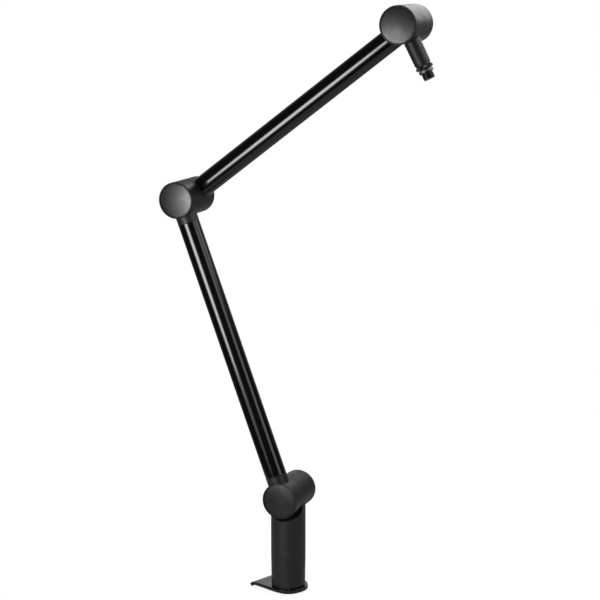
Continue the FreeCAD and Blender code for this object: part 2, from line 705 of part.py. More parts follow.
def make_column():
    """The swivelling sleeve, its bushes, and the shoulder bracket that plugs into its top."""
    bottom = s.seam_height + s.seam_gap
    top = s.shoulder_height - s.sleeve_drop
    sleeve = turned("sleeve_turned", [
        (s.swivel_bush_radius, bottom), (s.column_radius - s.seam_edge, bottom),
        (s.column_radius, bottom + s.seam_edge), (s.column_radius, top), (s.pocket_radius, top),
        (s.pocket_radius, s.swivel_floor), (s.swivel_bush_radius, s.swivel_floor),
    ])
    axis_up = Vector(0, 0, s.shoulder_height.value)
    backwards = Vector(0, 1, 0)

    def saddle(name, radius, start, end):
        """A cylinder along the hinge from one offset to another, to be taken out of the column."""
        origin = axis_up + Vector(0, as_size(start).value, 0)
        return rod(name, radius, as_size(end) - start, along(backwards, origin))

    def scoop(name):
        """The round-ended hollow under the turning drum."""
        wall = s.seam_place - s.scoop_wall
        block = saddle(name + "_block", s.scoop_radius, -THROUGH, wall)
        doc.recompute()
        rim_edge = next(
            i for i, line in enumerate(block.Shape.Edges, start=1)
            if len(line.Vertexes) == 1 and abs(line.Vertexes[0].Y - wall.value) < 0.01
        )
        rounded = doc.addObject("Part::Fillet", name)
        rounded.Base = block
        rounded.Edges = [(rim_edge, s.scoop_fillet.value, s.scoop_fillet.value)]
        return rounded

    seam = s.seam_place + s.half_gap
    screws, taps, clearances = [], [], []
    for i, angle in enumerate((60, 120)):
        out = Rotation(Vector(0, 0, 1), angle).multVec(Vector(1, 0, 0))
        level = Vector(0, 0, (s.stem_bottom + s.column_screw_level).value)
        way = along(out, level + out * s.column_screw_tip.value)
        taps.append(rod(f"column_tap_{i}", s.column_screw_radius, s.pocket_radius, way))
        clearances.append(rod(f"sleeve_hole_{i}", s.column_screw_radius, s.pocket_radius, way))
        screws.append(rod(f"column_screw_{i}", s.column_screw_radius,
                          s.column_radius - s.column_screw_tip - s.screw_sunk, way))
    clearance = s.barrel_radius + s.barrel_clearance
    sleeve_cuts = [
        saddle("sleeve_saddle", s.barrel_radius, seam, THROUGH),
        saddle("sleeve_clearance", clearance, -THROUGH, seam),
        scoop("sleeve_scoop"),
    ]
    keep(cut("column_sleeve", sleeve, *sleeve_cuts, *clearances), "column_sleeve")
    keep(group("column_screws", screws), "column_screws")
    length = s.swivel_bush_length
    for label, low, high in (("swivel_lower_bush", bottom, bottom + length),
                             ("swivel_upper_bush", s.swivel_floor - length, s.swivel_floor)):
        keep(ring(label, s.spindle_radius + s.running, s.swivel_bush_radius, low, high), label)

    place = barrel_frame(shoulder, REAR, Vector(0, 0, -1))
    drum = long_drum("shoulder_rear_drum_turned", long_rear, spring_room)
    drum.Placement = place
    stem = rod("shoulder_stem", s.pocket_radius, s.shoulder_height - s.stem_bottom - s.stem_root,
               Placement(Vector(0, 0, s.stem_bottom.value), Rotation()))
    hole = last_leg_hole("shoulder_last_leg_hole", Placement(-axis_up, Rotation()))
    keep(cut("shoulder_rear_drum", fuse("shoulder_bracket", drum, stem),
             saddle("bracket_hollow", s.cavity_radius, -THROUGH, seam + spring_room),
             saddle("bracket_clearance", clearance, -THROUGH, seam),
             scoop("bracket_scoop"), hole, *taps), "shoulder_rear_drum")


def make_tube(label, pivot, way, length, offset, side, start):
    """An arm tube between two collars, with the screws that hold it at each end."""
    along_tube = along(way, pivot + Vector(0, offset.value * side, 0))
    wall = ring(label + "_wall", s.tube_radius - s.tube_wall, s.tube_radius, start, length - start)
    screws, holes = [], []
    back = along_tube.Rotation.inverted().multVec(Vector(0, 1, 0))
    heights = [start + step for step in SCREW_STEPS] + [length - start - step for step in SCREW_STEPS]
    for i, height in enumerate(heights):
        spot = Vector(0, 0, height.value)
        holes.append(rod(f"{label}_hole_{i}", s.screw_radius + s.wall_slack, THROUGH, along(back, spot)))
        screws.append(rod(f"{label}_screw_{i}", s.screw_radius,
                          s.tube_radius - s.stub_bore - s.screw_sunk,
                          along(back, spot + back * s.stub_bore.value)))
    keep(cut(label, wall, *holes), label, along_tube)
    keep(group(label + "_screws", screws), label + "_screws", along_tube)


def make_arms():
    """The short drums, both tubes and the elbow's long drum."""
    make_short_drum("shoulder_front_drum", FRONT, shoulder, lower_way, short_front, front_tube,
                    s.lower_reach, True)
    make_short_drum("elbow_front_drum", FRONT, elbow, -lower_way, short_front, front_tube,
                    s.lower_reach, True)
    make_short_drum("head_rear_drum", REAR, head, -upper_way, short_head, rear_tube,
                    s.upper_reach, False)
    make_tube("lower_tube", shoulder, lower_way, s.lower_length, s.tube_offset, FRONT, s.lower_reach)
    make_tube("upper_tube", elbow, upper_way, s.upper_length, s.tube_offset, REAR, s.upper_reach)

    label = "elbow_rear_drum"
    frame = barrel_frame(elbow, REAR, upper_way)
    parts, hollows = collar(label, rear_tube, s.upper_reach)
    drum = long_drum(label + "_turned", long_rear, spring_room)
    hole = last_leg_hole(label + "_leg_hole", barrel_frame(Vector(), REAR, upper_way))
    keep(cut(label, fuse(label + "_whole", drum, *parts), *hollows, hole,
             *screw_taps(label, rear_tube, REAR, s.upper_reach)), label, frame)


def make_head():
    """The head's long drum, and the spigot with its thread, lock ring and washer."""
    frame = barrel_frame(head, FRONT, spigot_way)
    offset = from_seam(s.spigot_offset, FRONT)
    socket = rod("head_socket", s.tenon_radius, s.barrel_radius,
                 along(Vector(1, 0, 0), Vector(s.tenon_start.value, 0, offset.value)))
    drum = long_drum("head_front_drum_turned", long_head, s.head_hollow)
    keep(cut("head_front_drum", drum, socket), "head_front_drum", frame)

    spigot_place = along(spigot_way, head + Vector(0, -s.spigot_offset.value, 0))
    taper = turned("spigot_taper", [
        (0, s.spigot_start), (s.spigot_root, s.spigot_start), (s.spigot_root, s.taper_start),
        (s.spigot_tip, s.spigot_end - s.spigot_bevel),
        (s.spigot_tip - s.spigot_bevel, s.spigot_end), (s.neck_radius, s.spigot_end),
        (s.neck_radius, s.ring_start - s.neck_gap), (0, s.ring_start - s.neck_gap),
    ])
    across = spigot_place.Rotation.inverted().multVec(Vector(0, 1, 0))
    saddle = rod("spigot_saddle", s.barrel_radius, THROUGH * 2, along(across, across * -THROUGH))
    tenon = rod("spigot_tenon", s.tenon_radius, s.taper_start - s.tenon_start,
                Placement(Vector(0, 0, s.tenon_start.value), Rotation()))
    bore_start = s.spigot_end - s.shank_length
    bore = rod("spigot_bore", s.shank_radius, THROUGH,
               Placement(Vector(0, 0, bore_start.value), Rotation()))
    spigot = fuse("spigot_whole", cut("spigot_saddled", taper, saddle), tenon)
    keep(cut("mic_spigot", spigot, bore), "mic_spigot", spigot_place)
    keep(turned("thread_stud", [
        (0, bore_start), (s.shank_radius, bore_start), (s.shank_radius, s.ring_start - s.neck_gap),
        (s.thread_radius, s.ring_start - s.neck_gap), (s.thread_radius, s.washer_start),
        (s.thread_radius - s.washer_grip, s.washer_start), (s.thread_radius - s.washer_grip, s.washer_end),
        (s.thread_radius, s.washer_end), (s.thread_radius, s.thread_end - s.thread_bevel),
        (s.thread_radius - s.thread_bevel, s.thread_end), (0, s.thread_end),
    ]), "thread_stud", spigot_place)
    bevel = s.ring_bevel
    keep(turned("lock_ring", [
        (s.thread_radius + s.running, s.ring_start), (s.ring_radius - bevel, s.ring_start),
        (s.ring_radius, s.ring_start + bevel), (s.ring_radius, s.ring_end - bevel),
        (s.ring_radius - bevel, s.ring_end), (s.thread_radius + s.running, s.ring_end),
    ]), "lock_ring", spigot_place)
    keep(turned("thread_washer", [
        (s.thread_radius - s.washer_grip, s.washer_start), (s.washer_radius, s.washer_start),
        (s.washer_radius, s.washer_end - bevel), (s.washer_radius - bevel, s.washer_end),
        (s.thread_radius - s.washer_grip, s.washer_end),
    ]), "thread_washer", spigot_place)


# ---------------------------------------------------------------------------------------------
# Build, check and write
# ---------------------------------------------------------------------------------------------

make_base()
make_column()
make_arms()
make_head()
hinge_core("shoulder", REAR, shoulder, short_front, long_rear)
hinge_core("elbow", REAR, elbow, short_front, long_rear)
hinge_core("head", FRONT, head, short_head, long_head)
torsion_spring("shoulder_spring", shoulder, spring_room)
torsion_spring("elbow_spring", elbow, spring_room)
doc.recompute()

for item in doc.Objects:
    if "Invalid" in item.State or "Error" in item.State:
        raise RuntimeError(f"{item.Name} failed: {item.State}")
for item in nodes:
    if item.Shape.isNull() or not item.Shape.isValid() or not item.Shape.Solids:
        raise RuntimeError(f"{item.Label} has no valid solid")

os.makedirs("parts", exist_ok=True)
for item in nodes:
    solids = item.Shape.Solids
    shape = solids[0] if len(solids) == 1 else Part.makeCompound(solids)
    shape.exportStep(f"parts/{item.Label}.step")
    box = shape.BoundBox
    print(f"{item.Label:26s} {len(solids)} solid(s) {shape.Volume / 1000:8.2f} cm3  "
          f"x {box.XMin:7.1f} {box.XMax:7.1f}  y {box.YMin:6.1f} {box.YMax:6.1f}  "
          f"z {box.ZMin:6.1f} {box.ZMax:6.1f}")
print(len(nodes), "nodes")
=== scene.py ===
"""A desk-mounted microphone boom arm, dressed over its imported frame.

Every new piece is modelled in millimetres in a frame of its own, then put in place in the frame's
metres. The hinges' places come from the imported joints, and the sizes are fields of the classes.
"""
import json
import logging
import math
from collections.abc import Callable
from dataclasses import dataclass
from enum import Enum

import bmesh
import bpy
from mathutils import Matrix, Vector


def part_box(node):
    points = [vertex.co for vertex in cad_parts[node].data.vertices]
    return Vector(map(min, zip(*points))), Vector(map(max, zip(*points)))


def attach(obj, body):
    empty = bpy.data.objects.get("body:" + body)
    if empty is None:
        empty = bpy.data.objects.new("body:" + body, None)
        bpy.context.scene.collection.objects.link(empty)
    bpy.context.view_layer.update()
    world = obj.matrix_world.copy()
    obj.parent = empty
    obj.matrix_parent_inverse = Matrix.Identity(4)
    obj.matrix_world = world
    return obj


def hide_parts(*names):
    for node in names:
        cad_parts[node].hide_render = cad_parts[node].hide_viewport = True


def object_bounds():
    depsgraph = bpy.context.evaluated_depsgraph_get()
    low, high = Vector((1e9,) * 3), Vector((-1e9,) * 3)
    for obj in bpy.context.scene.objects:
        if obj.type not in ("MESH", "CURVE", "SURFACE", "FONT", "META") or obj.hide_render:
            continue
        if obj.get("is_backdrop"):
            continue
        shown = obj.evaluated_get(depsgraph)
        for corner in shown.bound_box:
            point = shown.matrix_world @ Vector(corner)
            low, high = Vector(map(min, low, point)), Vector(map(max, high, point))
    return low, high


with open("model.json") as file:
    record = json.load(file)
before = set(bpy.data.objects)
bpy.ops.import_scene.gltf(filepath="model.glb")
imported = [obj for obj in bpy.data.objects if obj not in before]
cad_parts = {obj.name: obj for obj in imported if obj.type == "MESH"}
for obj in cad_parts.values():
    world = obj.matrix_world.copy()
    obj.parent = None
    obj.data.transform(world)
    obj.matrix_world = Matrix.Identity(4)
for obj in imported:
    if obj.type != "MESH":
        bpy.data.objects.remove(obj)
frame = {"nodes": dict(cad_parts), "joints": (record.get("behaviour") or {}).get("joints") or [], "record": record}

log = logging.getLogger("boom_arm")

MM = 0.001
SHARP = math.radians(32)

# Millimetres: points that are closer than this are one point.
TOUCHING = 1e-4
# How many faces go round a turned piece, a flat disc, the stub in a tube and a screw's hole.
SMOOTH_STEPS = 128
DISC_STEPS = 96
STUB_STEPS = 64
HOLE_STEPS = 32

# The number of each axis, and its direction.
X, Y, Z = range(3)
X_WAY = Vector((1, 0, 0))
Y_WAY = Vector((0, 1, 0))
Z_WAY = Vector((0, 0, 1))

# Numbers of the Mix node's sockets, which share their names: its share, and what it mixes.
MIX_SHARE = 0
MIX_VALUES = (2, 3)
MIX_COLOURS = (6, 7)
MIXED_COLOUR = 2

# The range that holds nearly all of a noise texture's values, and the textures' settings.
NOISE_LOW, NOISE_HIGH = 0.3, 0.7
FINE_NOISE = {"Detail": 3.0, "Roughness": 0.6}
SLOW_NOISE = {"Detail": 2.0, "Roughness": 0.5}


# --------------------------------------------------------------------------------------------
# Materials
# --------------------------------------------------------------------------------------------


def linear(code: str) -> tuple[float, float, float, float]:
    """Turn an sRGB hex colour into the linear values that Blender's sockets take.

    Args:
        code: a colour such as "#1c1c1e".

    Returns:
        Linear red, green, blue and an alpha of 1.
    """
    parts = [int(code[i:i + 2], 16) / 255 for i in (1, 3, 5)]
    red, green, blue = (p / 12.92 if p <= 0.04045 else ((p + 0.055) / 1.055) ** 2.4 for p in parts)
    return red, green, blue, 1.0


def add(
    tree: bpy.types.NodeTree, kind: str, inputs: dict[str | int, object] | None = None, **settings: object
) -> bpy.types.Node:
    """Add a node to a tree, with its settings, values and links.

    Args:
        tree: the node tree.
        kind: the node's type, such as "ShaderNodeBump".
        inputs: what each input gets: a value, or another node's output socket.
        settings: properties of the node itself.

    Returns:
        The new node.
    """
    node = tree.nodes.new(kind)
    for name, value in settings.items():
        setattr(node, name, value)
    for key, value in (inputs or {}).items():
        if isinstance(value, bpy.types.NodeSocket):
            tree.links.new(value, node.inputs[key])
        else:
            node.inputs[key].default_value = value
    return node


class Making(Enum):
    """How a surface got its fine texture, as factors on the places along X, Y and Z that it reads.

    A small factor draws the grain out that way.
    """

    BLASTED = (1.0, 1.0, 1.0)
    MOULDED = BLASTED
    COATED = BLASTED
    TURNED = (1.0, 0.04, 1.0)
    DRAWN = (1.0, 1.0, 0.02)


@dataclass(frozen=True)
class Finish:
    """A material and the way its surface was made.

    grain and depth are the fine texture's spacing and height in millimetres. Real blasting, moulding
    and tool marks are finer, and are drawn a few times coarser so that they show. blotch is the
    spacing of the slow changes in gloss that handling leaves, and uneven is how far they change
    roughness.
    """

    slot: str
    colour: str
    second: str
    roughness: float
    making: Making
    grain: float
    depth: float
    metallic: float = 0.0
    ior: float = 1.5
    blotch: float = 18.0
    uneven: float = 0.05

    def material(self) -> bpy.types.Material:
        """Build the node material, or return it if it has been built."""
        known = bpy.data.materials.get(self.slot + "_finish")
        if known:
            return known
        made = bpy.data.materials.new(self.slot + "_finish")
        made.use_nodes = True
        tree = made.node_tree
        tree.nodes.clear()
        place = add(tree, "ShaderNodeTexCoord").outputs["Object"]
        fine_place = add(tree, "ShaderNodeMapping", {"Vector": place, "Scale": self.making.value})
        fine = add(tree, "ShaderNodeTexNoise", {
            "Vector": fine_place.outputs[0], "Scale": 1 / (self.grain * MM), **FINE_NOISE,
        })
        slow = add(tree, "ShaderNodeTexNoise", {
            "Vector": place, "Scale": 1 / (self.blotch * MM), **SLOW_NOISE,
        })
        rough = add(tree, "ShaderNodeMapRange", {
            "Value": slow.outputs[0], "From Min": NOISE_LOW, "From Max": NOISE_HIGH,
            "To Min": self.roughness - self.uneven, "To Max": self.roughness + self.uneven,
        })
        first, second = MIX_COLOURS
        tint = add(tree, "ShaderNodeMix", {
            MIX_SHARE: fine.outputs[0], first: linear(self.colour), second: linear(self.second),
        }, data_type="RGBA")
        bump = add(tree, "ShaderNodeBump", {"Height": fine.outputs[0], "Distance": self.depth * MM})
        shader = add(tree, "ShaderNodeBsdfPrincipled", {
            "Base Color": tint.outputs[MIXED_COLOUR], "Roughness": rough.outputs[0],
            "Metallic": self.metallic, "IOR": self.ior, "Normal": bump.outputs[0],
        })
        add(tree, "ShaderNodeOutputMaterial", {"Surface": shader.outputs[0]})
        return made


# Bead-blasted aluminium, dyed and sealed: a dry satin black that brightens only at a glance.
ANODISED = Finish("black_anodised", "#161618", "#1e1e20", 0.44, Making.BLASTED, 0.35, 0.035, ior=1.4)
# Drawn tube under a baked gloss lacquer: sharp streaks, with a faint orange peel.
LACQUER = Finish("gloss_black", "#060607", "#0a0a0b", 0.14, Making.COATED, 3.0, 0.001, uneven=0.01)
# Powder coat on steel plate: a slightly lumpy skin between satin and gloss.
POWDER = Finish("coated_steel", "#151517", "#1c1c1e", 0.22, Making.COATED, 0.6, 0.05, ior=1.4)
# Moulded plastic with a fine spark-eroded texture: an even, soft sheen.
CAP = Finish("black_cap", "#131315", "#1a1a1c", 0.30, Making.MOULDED, 0.3, 0.02, ior=1.46)
# Chemically blackened steel, turned and oiled: nearly black, with a patchy sheen.
OXIDE = Finish("black_oxide", "#0d0d0e", "#151516", 0.40, Making.TURNED, 0.4, 0.02, ior=1.45, uneven=0.08)
# Turned steel with a dark phosphate skin: dull grey, with soft broad highlights.
STEEL = Finish("steel", "#5c5c5e", "#6e6e70", 0.50, Making.TURNED, 0.25, 0.012, metallic=1.0)
# Hardened spring steel, drawn and oiled: a grey metal shine.
SPRING = Finish("spring_steel", "#55565a", "#6a6b70", 0.32, Making.DRAWN, 0.3, 0.01, metallic=1.0)
# Sintered bronze, open-pored and soaked in oil: a speckled brown metal.
BRONZE = Finish("bronze", "#8a6534", "#a97f48", 0.45, Making.BLASTED, 0.3, 0.04, metallic=1.0)
# Machined acetal: waxy, dull and black.
ACETAL = Finish("black_polymer", "#161617", "#202022", 0.5, Making.TURNED, 0.3, 0.01)
# Moulded sheet rubber: a flat black that hardly shines.
RUBBER = Finish("rubber", "#121213", "#1d1d1e", 0.78, Making.MOULDED, 0.8, 0.06)

FINISHES = {
    f.slot: f
    for f in (ANODISED, LACQUER, POWDER, CAP, OXIDE, STEEL, SPRING, BRONZE, ACETAL, RUBBER)
}


# --------------------------------------------------------------------------------------------
# Shaping
# --------------------------------------------------------------------------------------------

Corner = tuple[float, float]
Outline = Callable[[float], float]

# How wide a thread's ridge is at its crest and at its foot, as shares of the pitch.
THREAD_CREST = 0.16
THREAD_FOOT = 0.94


def pointing(origin: Vector, z_way: Vector, x_way: Vector) -> Matrix:
    """A frame with its Z axis along one direction and its X axis towards another.

    Args:
        origin: the frame's origin, in millimetres.
        z_way: the direction of its Z axis.
        x_way: a direction that its X axis leans to, square to Z.

    Returns:
        The frame as a matrix.
    """
    z_axis = z_way.normalized()
    x_axis = (x_way - z_axis * x_way.dot(z_axis)).normalized()
    y_axis = z_axis.cross(x_axis)
    return Matrix.Translation(origin) @ Matrix((x_axis, y_axis, z_axis)).transposed().to_4x4()


def put(bm: bmesh.types.BMesh, place: Matrix) -> bmesh.types.BMesh:
    """Move a shape into a frame and return it."""
    bmesh.ops.transform(bm, matrix=place, verts=bm.verts[:])
    return bm


def merged(*parts: bmesh.types.BMesh) -> bmesh.types.BMesh:
    """Put several shapes in one mesh, as pieces of one casting that run into each other.

    Args:
        parts: the shapes, which are used up.

    Returns:
        One mesh with all of them.
    """
    whole = bmesh.new()
    for part in parts:
        scrap = bpy.data.meshes.new("scrap")
        part.to_mesh(scrap)
        part.free()
        whole.from_mesh(scrap)
        bpy.data.meshes.remove(scrap)
    return whole


def turned(
    corners: list[Corner], rounds: dict[int, float] | None = None, steps: int = SMOOTH_STEPS, soft: int = 4
) -> bmesh.types.BMesh:
    """Turn a piece on a lathe about Z.

    Args:
        corners: its outline as (radius, height). An outline that starts and ends on the axis stays
            open there, and any other one is closed.
        rounds: the radius of each corner that is rounded, by its number.
        steps: how many faces go round.
        soft: how many faces a rounded corner has.

    Returns:
        The turned shape, with its faces outwards.
    """
    bm = bmesh.new()
    points = [bm.verts.new((radius, 0, height)) for radius, height in corners]
    for here, there in zip(points, points[1:]):
        bm.edges.new((here, there))
    if corners[0][0] or corners[-1][0]:
        bm.edges.new((points[-1], points[0]))
    for number, radius in (rounds or {}).items():
        bmesh.ops.bevel(
            bm, geom=[points[number]], offset=radius, offset_type="OFFSET", segments=soft, profile=0.5,
            affect="VERTICES", clamp_overlap=True, material=-1,
        )
    bmesh.ops.spin(
        bm, geom=bm.verts[:] + bm.edges[:], cent=(0, 0, 0), axis=(0, 0, 1), dvec=(0, 0, 0),
        angle=math.tau, steps=steps, use_merge=True, use_normal_flip=False, use_duplicate=False,
    )
    bmesh.ops.remove_doubles(bm, verts=bm.verts[:], dist=TOUCHING)
    bmesh.ops.recalc_face_normals(bm, faces=bm.faces[:])
    return bm


def rod(
    radius: float, low: float, high: float, rounds: dict[int, float] | None = None,
    steps: int = SMOOTH_STEPS, soft: int = 4,
) -> bmesh.types.BMesh:
    """Turn a solid cylinder about Z.

    Args:
        radius: its radius.
        low: its lower end.
        high: its upper end.
        rounds: the radius of its lower edge, as number 1, and of its upper edge, as number 2.
        steps: how many faces go round.
        soft: how many faces a rounded edge has.

    Returns:
        The cylinder.
    """
    return turned([(0, low), (radius, low), (radius, high), (0, high)], rounds, steps, soft)


def plain(radius: float) -> Outline:
    """A round outline."""
    return lambda angle: radius


def hexagon(across: float) -> Outline:
    """A hexagonal outline, sized across its flats."""
    side = math.pi / 3
    return lambda angle: across / 2 / math.cos((angle % side) - side / 2)


def knurl(radius: float, depth: float, teeth: int) -> Outline:
    """A round outline with straight V-shaped teeth."""
    return lambda angle: radius - depth * abs(2 * ((angle * teeth / math.tau) % 1) - 1)


def extruded(
    bm: bmesh.types.BMesh, edges: list[bmesh.types.BMEdge]
) -> tuple[list[bmesh.types.BMVert], list[bmesh.types.BMEdge]]:
    """Extrude a run of edges, and leave the new ones where they are for now.

    Args:
        bm: the shape that they are in.
        edges: the edges to extrude.

    Returns:
        The new points, and the new edges between them.
    """
    grown = bmesh.ops.extrude_edge_only(bm, edges=edges)["geom"]
    points = [v for v in grown if isinstance(v, bmesh.types.BMVert)]
    ends = set(points)
    return points, [e for e in grown if isinstance(e, bmesh.types.BMEdge) and ends.issuperset(e.verts)]


def stacked(rings: list[tuple[float, Outline]], steps: int, looped: bool = False) -> bmesh.types.BMesh:
    """Join rings of any outline into one skin, in the order that they are given.

    Args:
        rings: each ring's height and outline.
        steps: how many points a ring has.
        looped: whether the last ring joins the first, as round a bore; otherwise both ends are closed.

    Returns:
        The shape, with its faces outwards.
    """
    bm = bmesh.new()
    bmesh.ops.create_circle(bm, segments=steps, radius=1.0, cap_ends=False)
    ring = bm.edges[:]
    first = ring
    for number, (height, outline) in enumerate(rings):
        if number:
            ring = extruded(bm, ring)[1]
        for vertex in {v for edge in ring for v in edge.verts}:
            angle = math.atan2(vertex.co.y, vertex.co.x)
            radius = outline(angle)
            vertex.co = (radius * math.cos(angle), radius * math.sin(angle), height)
    if looped:
        bmesh.ops.bridge_loops(bm, edges=first + ring)
    else:
        bmesh.ops.edgeloop_fill(bm, edges=first)
        bmesh.ops.edgeloop_fill(bm, edges=ring)
    bmesh.ops.recalc_face_normals(bm, faces=bm.faces[:])
    return bm


def thread(
    root: float, crest: float, pitch: float, low: float, high: float, steps: int = 48
) -> bmesh.types.BMesh:
    """Wind a screw thread's ridge about Z.

    Args:
        root: the radius that the ridge stands on, just inside the core.
        crest: the thread's outside radius.
        pitch: from turn to turn.
        low: where the ridge starts.
        high: where it ends.
        steps: how many faces one turn has.

    Returns:
        The ridge, closed at both ends.
    """
    turns = (high - low) / pitch
    flat, foot = pitch * THREAD_CREST / 2, pitch * THREAD_FOOT / 2
    bm = bmesh.new()
    section = [(root, -foot), (crest, -flat), (crest, flat), (root, foot)]
    bm.faces.new([bm.verts.new((radius, 0, low + height)) for radius, height in section])
    bmesh.ops.spin(
        bm, geom=bm.faces[:] + bm.edges[:] + bm.verts[:], cent=(0, 0, 0), axis=(0, 0, 1),
        dvec=(0, 0, pitch / steps), angle=math.tau * turns, steps=round(steps * turns),
        use_merge=False, use_normal_flip=False, use_duplicate=False,
    )
    bmesh.ops.recalc_face_normals(bm, faces=bm.faces[:])
    return bm


def carved(stock: bmesh.types.BMesh, *tools: bmesh.types.BMesh) -> bmesh.types.BMesh:
    """Cut tools' shapes out of a stock.

    Args:
        stock: the shape to cut, which is used up.
        tools: the shapes to take out of it, which are used up.

    Returns:
        What is left.
    """
    scraps = []
    for number, shape in enumerate((stock, *tools)):
        mesh = bpy.data.meshes.new(f"scrap_{number}")
        shape.to_mesh(mesh)
        shape.free()
        scrap = bpy.data.objects.new(f"scrap_{number}", mesh)
        bpy.context.scene.collection.objects.link(scrap)
        scraps.append(scrap)
    for scrap in scraps[1:]:
        cut = scraps[0].modifiers.new("cut", "BOOLEAN")
        cut.operation = "DIFFERENCE"
        cut.solver = "EXACT"
        cut.object = scrap
    bpy.context.view_layer.update()
    left = bmesh.new()
    left.from_object(scraps[0], bpy.context.evaluated_depsgraph_get())
    for scrap in scraps:
        mesh = scrap.data
        bpy.data.objects.remove(scrap)
        bpy.data.meshes.remove(mesh)
    return left


def piece(
    name: str, bm: bmesh.types.BMesh, place: Matrix, body: str, finish: Finish, stands_for: str
) -> None:
    """Make a shape an object of the scene, in its place, and let it ride on its body.

    Args:
        name: the piece's name.
        bm: its shape in millimetres, which is used up.
        place: its frame, in millimetres.
        body: the body that it rides on.
        finish: its material.
        stands_for: the frame's node that it replaces.
    """
    put(bm, Matrix.Scale(MM, 4) @ place)
    for face in bm.faces:
        face.smooth = True
    for edge in bm.edges:
        edge.smooth = edge.is_manifold and edge.calc_face_angle(0.0) < SHARP
    mesh = bpy.data.meshes.new(name)
    bm.to_mesh(mesh)
    bm.free()
    mesh.materials.append(finish.material())
    made = bpy.data.objects.new(name, mesh)
    bpy.context.scene.collection.objects.link(made)
    even = made.modifiers.new("even_shading", "WEIGHTED_NORMAL")
    even.keep_sharp = True
    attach(made, body)
    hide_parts(stands_for)
    log.info("%s rides on %s in %s", name, body, finish.slot)


# --------------------------------------------------------------------------------------------
# Where things are
# --------------------------------------------------------------------------------------------


@dataclass(frozen=True)
class Layout:
    """The hinges' places in millimetres and the arms' directions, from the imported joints."""

    shoulder: Vector
    elbow: Vector
    head: Vector
    spigot_way: Vector
    spigot_offset: float

    @classmethod
    def read(cls) -> "Layout":
        """Read the layout from the frame."""
        joints = {joint["name"]: joint for joint in frame["joints"]}
        places = [Vector(joints[name]["pos_m"]) / MM for name in ("shoulder", "elbow", "head_tilt")]
        ring = joints["lock_ring_turn"]
        return cls(*places, Vector(ring["axis"]).normalized(), ring["pos_m"][Y] / MM)

    @property
    def lower_way(self) -> Vector:
        """From the shoulder to the elbow."""
        return (self.elbow - self.shoulder).normalized()

    @property
    def upper_way(self) -> Vector:
        """From the elbow to the head."""
        return (self.head - self.elbow).normalized()


def span(node: str, axis: int) -> tuple[float, float]:
    """The lowest and highest place of a node along an axis, in millimetres."""
    low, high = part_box(node)
    return low[axis] / MM, high[axis] / MM


class Side(Enum):
    """Which side of a barrel's seam a drum is on, as the sign of Y."""

    FRONT = -1
    REAR = 1


class Half(Enum):
    """Which half of a hinge a drum is, as what it has inside."""

    HUB = "a hub that turns on a bush, with the friction ring's groove round it"
    HOUSING = "a web that the axle is fixed to, and a hollow towards the seam"


@dataclass(frozen=True)
class GrubScrew:
    """A set screw with a hexagon socket, sunk just under the surface, and the hole for it.

    tip_share and tip_length are the point's radius, as a share of the screw's, and its length.
    """

    radius: float = 2.0
    length: float = 4.6
    socket: float = 2.0
    sunk: float = 0.3
    tip_share: float = 0.7
    tip_length: float = 0.5
    chamfer: float = 0.25
    play: float = 0.1
    steps: int = 36

    def shape(self) -> bmesh.types.BMesh:
        """The screw, with its socket's mouth at the origin and its body towards -Z."""
        top, low = -self.sunk, -self.sunk - self.length
        return stacked([
            (low, plain(self.radius * self.tip_share)), (low + self.tip_length, plain(self.radius)),
            (top - self.chamfer, plain(self.radius)), (top, plain(self.radius - self.chamfer)),
            (top, hexagon(self.socket)), (top - self.radius, hexagon(self.socket)),
        ], steps=self.steps)

    def hole(self, depth: float, place: Matrix) -> bmesh.types.BMesh:
        """The tool that drills the screw's hole.

        Args:
            depth: how deep it goes; it stands out of the surface by half as much.
            place: the screw's place.

        Returns:
            The tool, in its place.
        """
        return put(rod(self.radius + self.play, -depth, depth / 2, steps=HOLE_STEPS), place)

    def all_at(self, places: list[Matrix]) -> bmesh.types.BMesh:
        """One mesh with a screw at each place."""
        return merged(*(put(self.shape(), place) for place in places))


# --------------------------------------------------------------------------------------------
# Base and column
# --------------------------------------------------------------------------------------------


